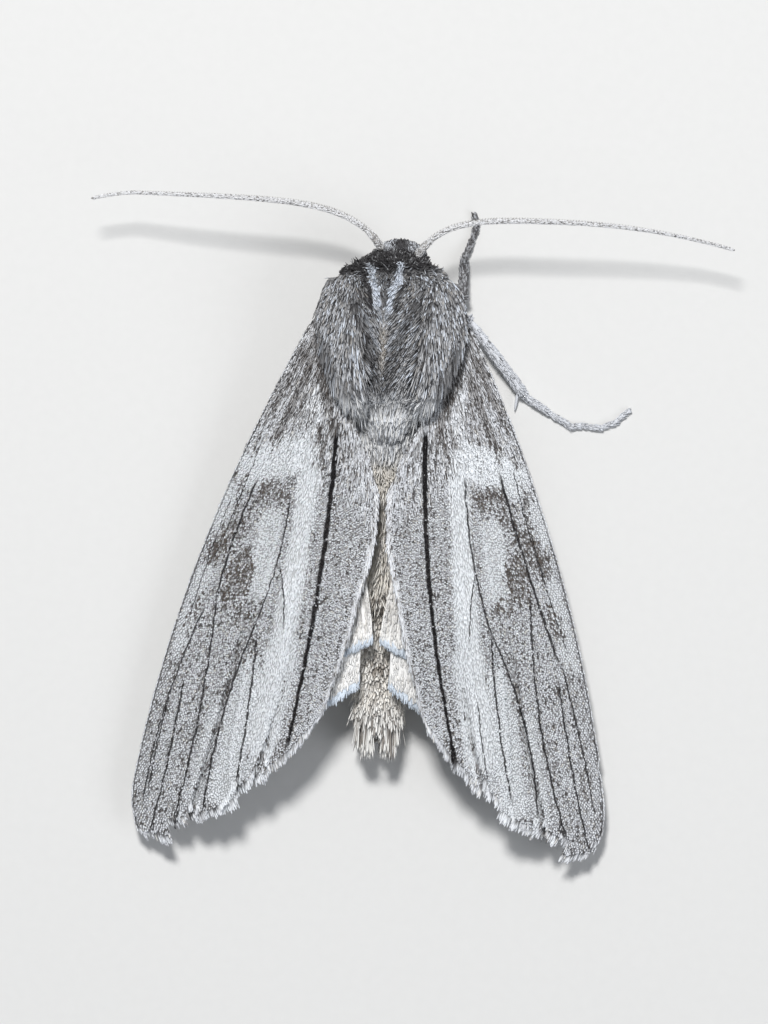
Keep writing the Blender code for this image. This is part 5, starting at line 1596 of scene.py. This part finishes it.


# Legs: thigh, shin and foot joints, each a slender spindle clothed in flat scales; tone says how dark and
# how flecked, and the front legs' high tone is painted shade

legs = {
    "front_right": {
        "sign": -1.0, "tone": 0.8, "radii": (0.34, 0.30, 0.19, 0.17, 0.13, 0.12, 0.11),
        "joints": ((1.10, 2.35, 1.80), (1.75, 2.30, 1.10), (3.05, 2.10, 1.00), (3.05, 0.35, 0.36),
                   (3.34, -0.45, 0.17), (3.52, -1.10, 0.15), (3.42, -1.50, 0.14)),
        "spurs": (),
    },
    "front_left": {
        "sign": 1.0, "tone": 0.8, "radii": (0.34, 0.30, 0.19, 0.17, 0.13, 0.12, 0.11),
        "joints": ((1.10, 2.35, 1.80), (1.75, 2.30, 1.10), (2.45, 2.00, 0.95), (1.50, 1.15, 0.24),
                   (1.00, 1.90, 0.16), (0.62, 2.80, 0.15), (0.35, 3.50, 0.14)),
        "spurs": (),
    },
    "middle_right": {
        "sign": -1.0, "tone": 0.2, "radii": (0.38, 0.32, 0.16, 0.25, 0.13, 0.12, 0.11, 0.105, 0.10, 0.09),
        "joints": ((1.55, 4.25, 1.75), (2.50, 4.30, 0.98), (3.38, 3.05, 1.35), (5.98, 6.22, 0.42),
                   (7.07, 6.92, 0.20), (8.06, 7.46, 0.17), (8.72, 7.42, 0.15), (9.34, 7.48, 0.15),
                   (9.98, 7.22, 0.14), (10.50, 6.74, 0.14)),
        "spurs": (((5.68, 6.05, 0.42), (5.57, 6.94, 0.16)), ((5.90, 6.30, 0.36), (6.30, 6.66, 0.10))),
    },
    "middle_left": {
        "sign": 1.0, "tone": 0.2, "radii": (0.38, 0.32, 0.17, 0.24, 0.13, 0.12, 0.11, 0.105, 0.10),
        "joints": ((1.55, 4.25, 1.75), (2.50, 4.30, 0.98), (3.20, 4.95, 1.75), (4.35, 8.00, 0.40),
                   (4.70, 9.10, 0.20), (5.05, 10.20, 0.17), (5.25, 10.95, 0.15), (5.45, 11.65, 0.15),
                   (5.60, 12.30, 0.14)),
        "spurs": (((4.20, 7.90, 0.42), (4.05, 8.72, 0.16)),),
    },
    "hind_left": {
        "sign": 1.0, "tone": 0.15, "radii": (0.40, 0.34, 0.18, 0.24, 0.14, 0.13, 0.12, 0.11, 0.10),
        "joints": ((1.50, 6.50, 1.65), (2.30, 6.65, 0.86), (2.80, 8.50, 1.40), (3.35, 13.10, 0.40),
                   (3.55, 14.60, 0.20), (3.70, 15.90, 0.17), (3.80, 16.70, 0.15), (3.88, 17.40, 0.15),
                   (3.95, 18.05, 0.14)),
        "spurs": (((3.20, 13.00, 0.42), (3.02, 13.85, 0.16)), ((3.06, 11.30, 0.80), (2.80, 12.15, 0.55))),
    },
}
legs["hind_right"] = dict(legs["hind_left"], sign=-1.0)

legFinish = {
    "light": (0.80, 0.83, 0.88), "grey": (0.56, 0.57, 0.60), "dusk": (0.14, 0.14, 0.145),
    "fleck": (0.050, 0.045, 0.045), "gap": (0.05, 0.05, 0.05),
}
# Corners of a bar, tufts on each millimetre of the upper and the foot joints, radii of spur and claw
legBuild = {
    "corners": 14, "upperTufts": 150, "footTufts": 105, "spur": 0.058, "claw": 0.036, "clawLength": 0.20,
}


def legPaint(name, darkness, isCoat):
    look = legFinish
    paint = Paint(name, 0.55, Specular_IOR_Level=0.35, Sheen_Weight=0.1)
    space = paint.attribute("place", "Vector")
    tint = paint.attribute("tint") if isCoat else paint.noise(space, 11.0)
    fleck = 1.0 - paint.ease(darkness + 0.06, darkness + 0.16, tint * 0.6 + paint.noise(space, 3.0) * 0.4)
    second = paint.maths("FRACT", tint * 13.7)
    light = paint.mix(look["light"], look["grey"], second)
    # painted shade on the front legs, which lie in the shade under the head and thorax; the palps, painted
    # at the same darkness, get it too
    if darkness > 0.3:
        light = paint.mix(light, look["dusk"], 0.60)
    colour = paint.mix(light, look["fleck"], fleck * 0.85)
    if isCoat:
        along = paint.attribute("along")
        # painted shade at each scale's root
        return paint.finish(paint.mix(colour, look["gap"], (1.0 - paint.ease(0.1, 0.7, along)) * 0.5))
    return paint.finish(colour, paint.noise(space, 18.0), 0.00003, 0.7)


def spindle(start, end, radiusStart, radiusEnd, rings=14):
    # one length of a leg, rounded at both ends and a little swollen before its far joint
    f = np.linspace(0.0, 1.0, rings)
    start = np.asarray(start)
    end = np.asarray(end)
    reach = unit(end - start) * 0.35 * min(radiusStart, radiusEnd)
    centres = blend(start - reach, end + reach, f[:, None])
    radius = blend(radiusStart, radiusEnd, f) * (0.92 + 0.14 * np.sin(np.pi * np.clip(f * 1.1, 0, 1)))
    radius = radius * np.minimum(1.0, np.sqrt(np.clip(1.0 - (2.0 * f - 1.0) ** 10, 0.02, 1.0)))
    return centres, radius


def around(along, angle):
    # directions square to a bar, at the given angles about it
    side = unit(np.cross(along, (0.0, 0.0, 1.0)))
    return side * np.cos(angle)[:, None] + np.cross(side, along) * np.sin(angle)[:, None]


def legEnds(facts, joints, sign):
    # spurs at the shin's end and two claws at the foot's
    parts = []
    for start, end in facts["spurs"]:
        f = np.linspace(0.0, 1.0, 8)
        path = blend(np.array(start), np.array(end), f[:, None]) * (sign, 1.0, 1.0)
        parts.append(tubeMesh(path, legBuild["spur"] * (1.0 - f ** 5) + 0.006, 8))
    heading = unit(joints[-1] - joints[-2])
    across = unit(np.cross(heading, (0.0, 0.0, 1.0)))
    f = np.linspace(0.0, 1.0, 7)[:, None]
    drop = np.array((0.0, 0.0, 1.0)) * (0.05 - 0.12 * f * f)
    for spread in (-1.0, 1.0):
        aside = across * (spread * (0.03 + 0.08 * f))
        path = joints[-1] + heading * (legBuild["clawLength"] * f) + aside + drop
        path[:, 2] = np.maximum(path[:, 2], 0.03)
        parts.append(tubeMesh(path, legBuild["claw"] * (1.0 - 0.85 * f[:, 0]), 6))
    return parts


def makeLeg(name, facts, skin, hair, seed):
    sign = facts["sign"]
    joints = [np.array((sign * x, y, z)) for x, y, z in facts["joints"]]
    radii = facts["radii"]
    rng = np.random.default_rng(seed)
    parts = []
    grown = []
    for k in range(len(joints) - 1):
        narrow = 1.0 if k < 3 else (0.55 if k == 3 else 0.85)
        centres, radius = spindle(joints[k], joints[k + 1], radii[k] * narrow, radii[k + 1])
        flat = 0.8 if k < 2 else 1.0
        parts.append(tubeMesh(centres, radius, legBuild["corners"], flat))
        length = np.linalg.norm(joints[k + 1] - joints[k])
        count = int(length * legBuild["upperTufts" if k < 3 else "footTufts"])
        f = rng.uniform(0.0, 1.0, count)
        angle = rng.uniform(0.0, 2.0 * np.pi, count)
        along = unit(joints[k + 1] - joints[k])
        out = around(along, angle)
        r = np.interp(f, np.linspace(0.0, 1.0, len(radius)), radius)
        r = r * np.where(np.abs(np.sin(angle)) > 0.5, 0.5 + 0.5 * flat, 1.0) * 0.96
        middle = blend(centres[0], centres[-1], f[:, None])
        grown.append((middle + out * r[:, None], out, np.tile(along, (count, 1))))
    points, quads, triangles = gatherMeshes(parts + legEnds(facts, joints, sign))
    points[:, 2] = np.maximum(points[:, 2], 0.0)
    label = "".join(word.capitalize() for word in name.split("_"))
    makePiece("leg" + label, points, [quads, triangles], skin, ("leg_" + name,),
              None, {"place": points})

    roots, normals, flows = (np.concatenate(v) for v in zip(*grown))
    count = len(roots)
    flows = flows + rng.normal(0.0, 0.12, (count, 3))
    lengths = rng.uniform(0.16, 0.30, count)
    lifts = rng.uniform(0.01, 0.06, count)
    paths, ups = tuftPaths(roots, normals, flows, lengths, lifts, 4, None, 0.02)
    paths[:, :, 2] = np.maximum(paths[:, :, 2], 0.01)
    start = points[:, :2].min(0)
    uv = 0.02 + 0.9 * (roots[:, :2] - start) / max(np.ptp(points[:, 0]), np.ptp(points[:, 1]))
    makeCoat("scales" + label, paths, ups, rng.uniform(0.065, 0.105, count), 0.018, uv,
             rng.uniform(0.0, 1.0, count), hair, 0.7)


print("stage: legs")
legLooks = {}
for tone in (0.8, 0.2, 0.15):
    legLooks[tone] = (legPaint("legSkin", tone * 0.5, False), legPaint("legScales", tone * 0.5, True))
for seed, (legName, legFacts) in enumerate(sorted(legs.items())):
    makeLeg(legName, legFacts, *legLooks[legFacts["tone"]], 80 + seed)


# Palps and the coiled tongue under the face

palp = {"start": (0.42, 0.42, 1.30), "end": (0.36, -0.02, 1.90), "radius": 0.19, "tufts": 260}
tongue = {
    "turns": 2.6, "middle": (0.18, 1.50), "coil": (0.30, 0.10), "radius": (0.055, 0.025),
    "horn": (0.16, 0.09, 0.05), "hornDark": (0.06, 0.035, 0.02),
}


def makePalp(side, sign, skin, hair):
    f = np.linspace(0.0, 1.0, 16)
    start, end = palp["start"], palp["end"]
    x = sign * blend(start[0], end[0], f)
    y = blend(start[1], end[1], f ** 0.9)
    z = start[2] + (end[2] - start[2]) * f ** 1.6
    roundEnds = np.sqrt(np.clip(1.0 - (2.0 * f - 1.0) ** 12, 0.02, 1.0))
    radius = palp["radius"] * (1.0 - 0.45 * f ** 2) * roundEnds
    centres = np.stack([x, y, z], -1)
    points, quads, triangles = tubeMesh(centres, radius, 12)
    makePiece("palp" + side.capitalize(), points, [quads, triangles], skin, ("palp_" + side,),
              None, {"place": points})
    rng = seeded(95, sign)
    count = palp["tufts"]
    pick = rng.uniform(0.03, 0.97, count)
    angle = rng.uniform(0.0, 2.0 * np.pi, count)
    along = unit(np.gradient(centres, axis=0))
    at = np.stack([np.interp(pick, f, centres[:, k]) for k in range(3)], -1)
    way = unit(np.stack([np.interp(pick, f, along[:, k]) for k in range(3)], -1))
    out = around(way, angle)
    roots = at + out * np.interp(pick, f, radius)[:, None]
    flows = way + rng.normal(0, 0.12, (count, 3))
    lengths = rng.uniform(0.14, 0.26, count)
    paths, ups = tuftPaths(roots, out, flows, lengths, rng.uniform(0.01, 0.05, count), 4, None, 0.02)
    uv = np.stack([0.1 + 0.8 * pick, 0.1 + 0.8 * angle / (2.0 * np.pi)], -1)
    makeCoat("palpScales" + side.capitalize(), paths, ups, 0.06, 0.018, uv, rng.uniform(0, 1, count), hair,
             0.7)


def makeTongue():
    turn = np.linspace(0.0, tongue["turns"] * 2.0 * np.pi, 90)
    f = turn / turn[-1]
    coil = blend(*tongue["coil"], f)
    y, z = tongue["middle"]
    x = 0.04 * np.sin(turn * 0.25)
    path = np.stack([x, y + coil * np.cos(turn + 1.2), z + coil * np.sin(turn + 1.2)], -1)
    points, quads, triangles = tubeMesh(path, blend(*tongue["radius"], f), 8)
    paint = Paint("tongueHorn", 0.35)
    bands = paint.noise(paint.attribute("place", "Vector"), 20.0)
    material = paint.finish(paint.mix(tongue["horn"], tongue["hornDark"], bands))
    makePiece("tongue", points, [quads, triangles], material, (), None, {"place": points})


print("stage: palps and tongue")
palpSkin = legPaint("palpSkin", 0.40, False)
palpHair = legPaint("palpScales", 0.40, True)
for palpSide, palpSign in sides:
    makePalp(palpSide, palpSign, palpSkin, palpHair)
makeTongue()


# Floor, light and camera

studio = {
    "floorSize": 0.9, "floor": (0.70, 0.70, 0.69), "world": (0.80, 0.84, 0.90), "worldStrength": 0.30,
    "camera": (-0.07, 11.62, 252.5), "turn": 182.81, "lens": 202.1,
}

# Name, place and disk size in metres, power and colour
lamps = (
    ("key", (0.04, -0.13, 0.28), 0.055, 0.92, (1.0, 0.99, 0.98)),
    ("fill", (-0.22, 0.10, 0.22), 0.20, 0.24, (0.94, 0.96, 1.0)),
)


def makeFloor():
    half = studio["floorSize"] / 2.0
    mesh = bpy.data.meshes.new("floor")
    corners = [(-half, -half, 0.0), (half, -half, 0.0), (half, half, 0.0), (-half, half, 0.0)]
    mesh.from_pydata(corners, [], [(0, 1, 2, 3)])
    paint = Paint("floorPaper", 0.9, Specular_IOR_Level=0.2)
    space = paint.node("ShaderNodeTexCoord", None, None, "Object")
    grain = paint.noise(space, 2200.0, 3.0)
    shade = studio["floor"]
    colour = paint.mix(shade, tuple(c * 0.96 for c in shade), grain)
    mesh.materials.append(paint.finish(colour, grain, 0.00002, 0.15))
    floor = bpy.data.objects.new("floor", mesh)
    bpy.context.scene.collection.objects.link(floor)


def makeLight(name, place, size, power, colour):
    light = bpy.data.lights.new(name, "AREA")
    light.shape = "DISK"
    light.size = size
    light.energy = power
    light.color = colour
    made = bpy.data.objects.new(name, light)
    made.location = place
    aim = Vector((frameX * mm, (frameY + 12.0) * mm, 0.003)) - Vector(place)
    made.rotation_euler = aim.to_track_quat("-Z", "Y").to_euler()
    bpy.context.scene.collection.objects.link(made)


def makeCamera():
    lens = bpy.data.cameras.new("camera")
    lens.lens = studio["lens"]
    lens.sensor_width = 36.0
    lens.sensor_fit = "AUTO"
    lens.clip_start = 0.01
    lens.clip_end = 10.0
    camera = bpy.data.objects.new("camera", lens)
    x, y, z = studio["camera"]
    camera.location = ((x + frameX) * mm, (y + frameY) * mm, z * mm)
    camera.rotation_euler = (0.0, 0.0, math.radians(studio["turn"]))
    bpy.context.scene.collection.objects.link(camera)
    bpy.context.scene.camera = camera


print("stage: studio")
makeFloor()
for lamp in lamps:
    makeLight(*lamp)
world = bpy.data.worlds.new("studioAir")
world.use_nodes = True
world.node_tree.nodes["Background"].inputs["Color"].default_value = (*studio["world"], 1.0)
world.node_tree.nodes["Background"].inputs["Strength"].default_value = studio["worldStrength"]
bpy.context.scene.world = world
bpy.context.scene.view_settings.view_transform = "Standard"
makeCamera()
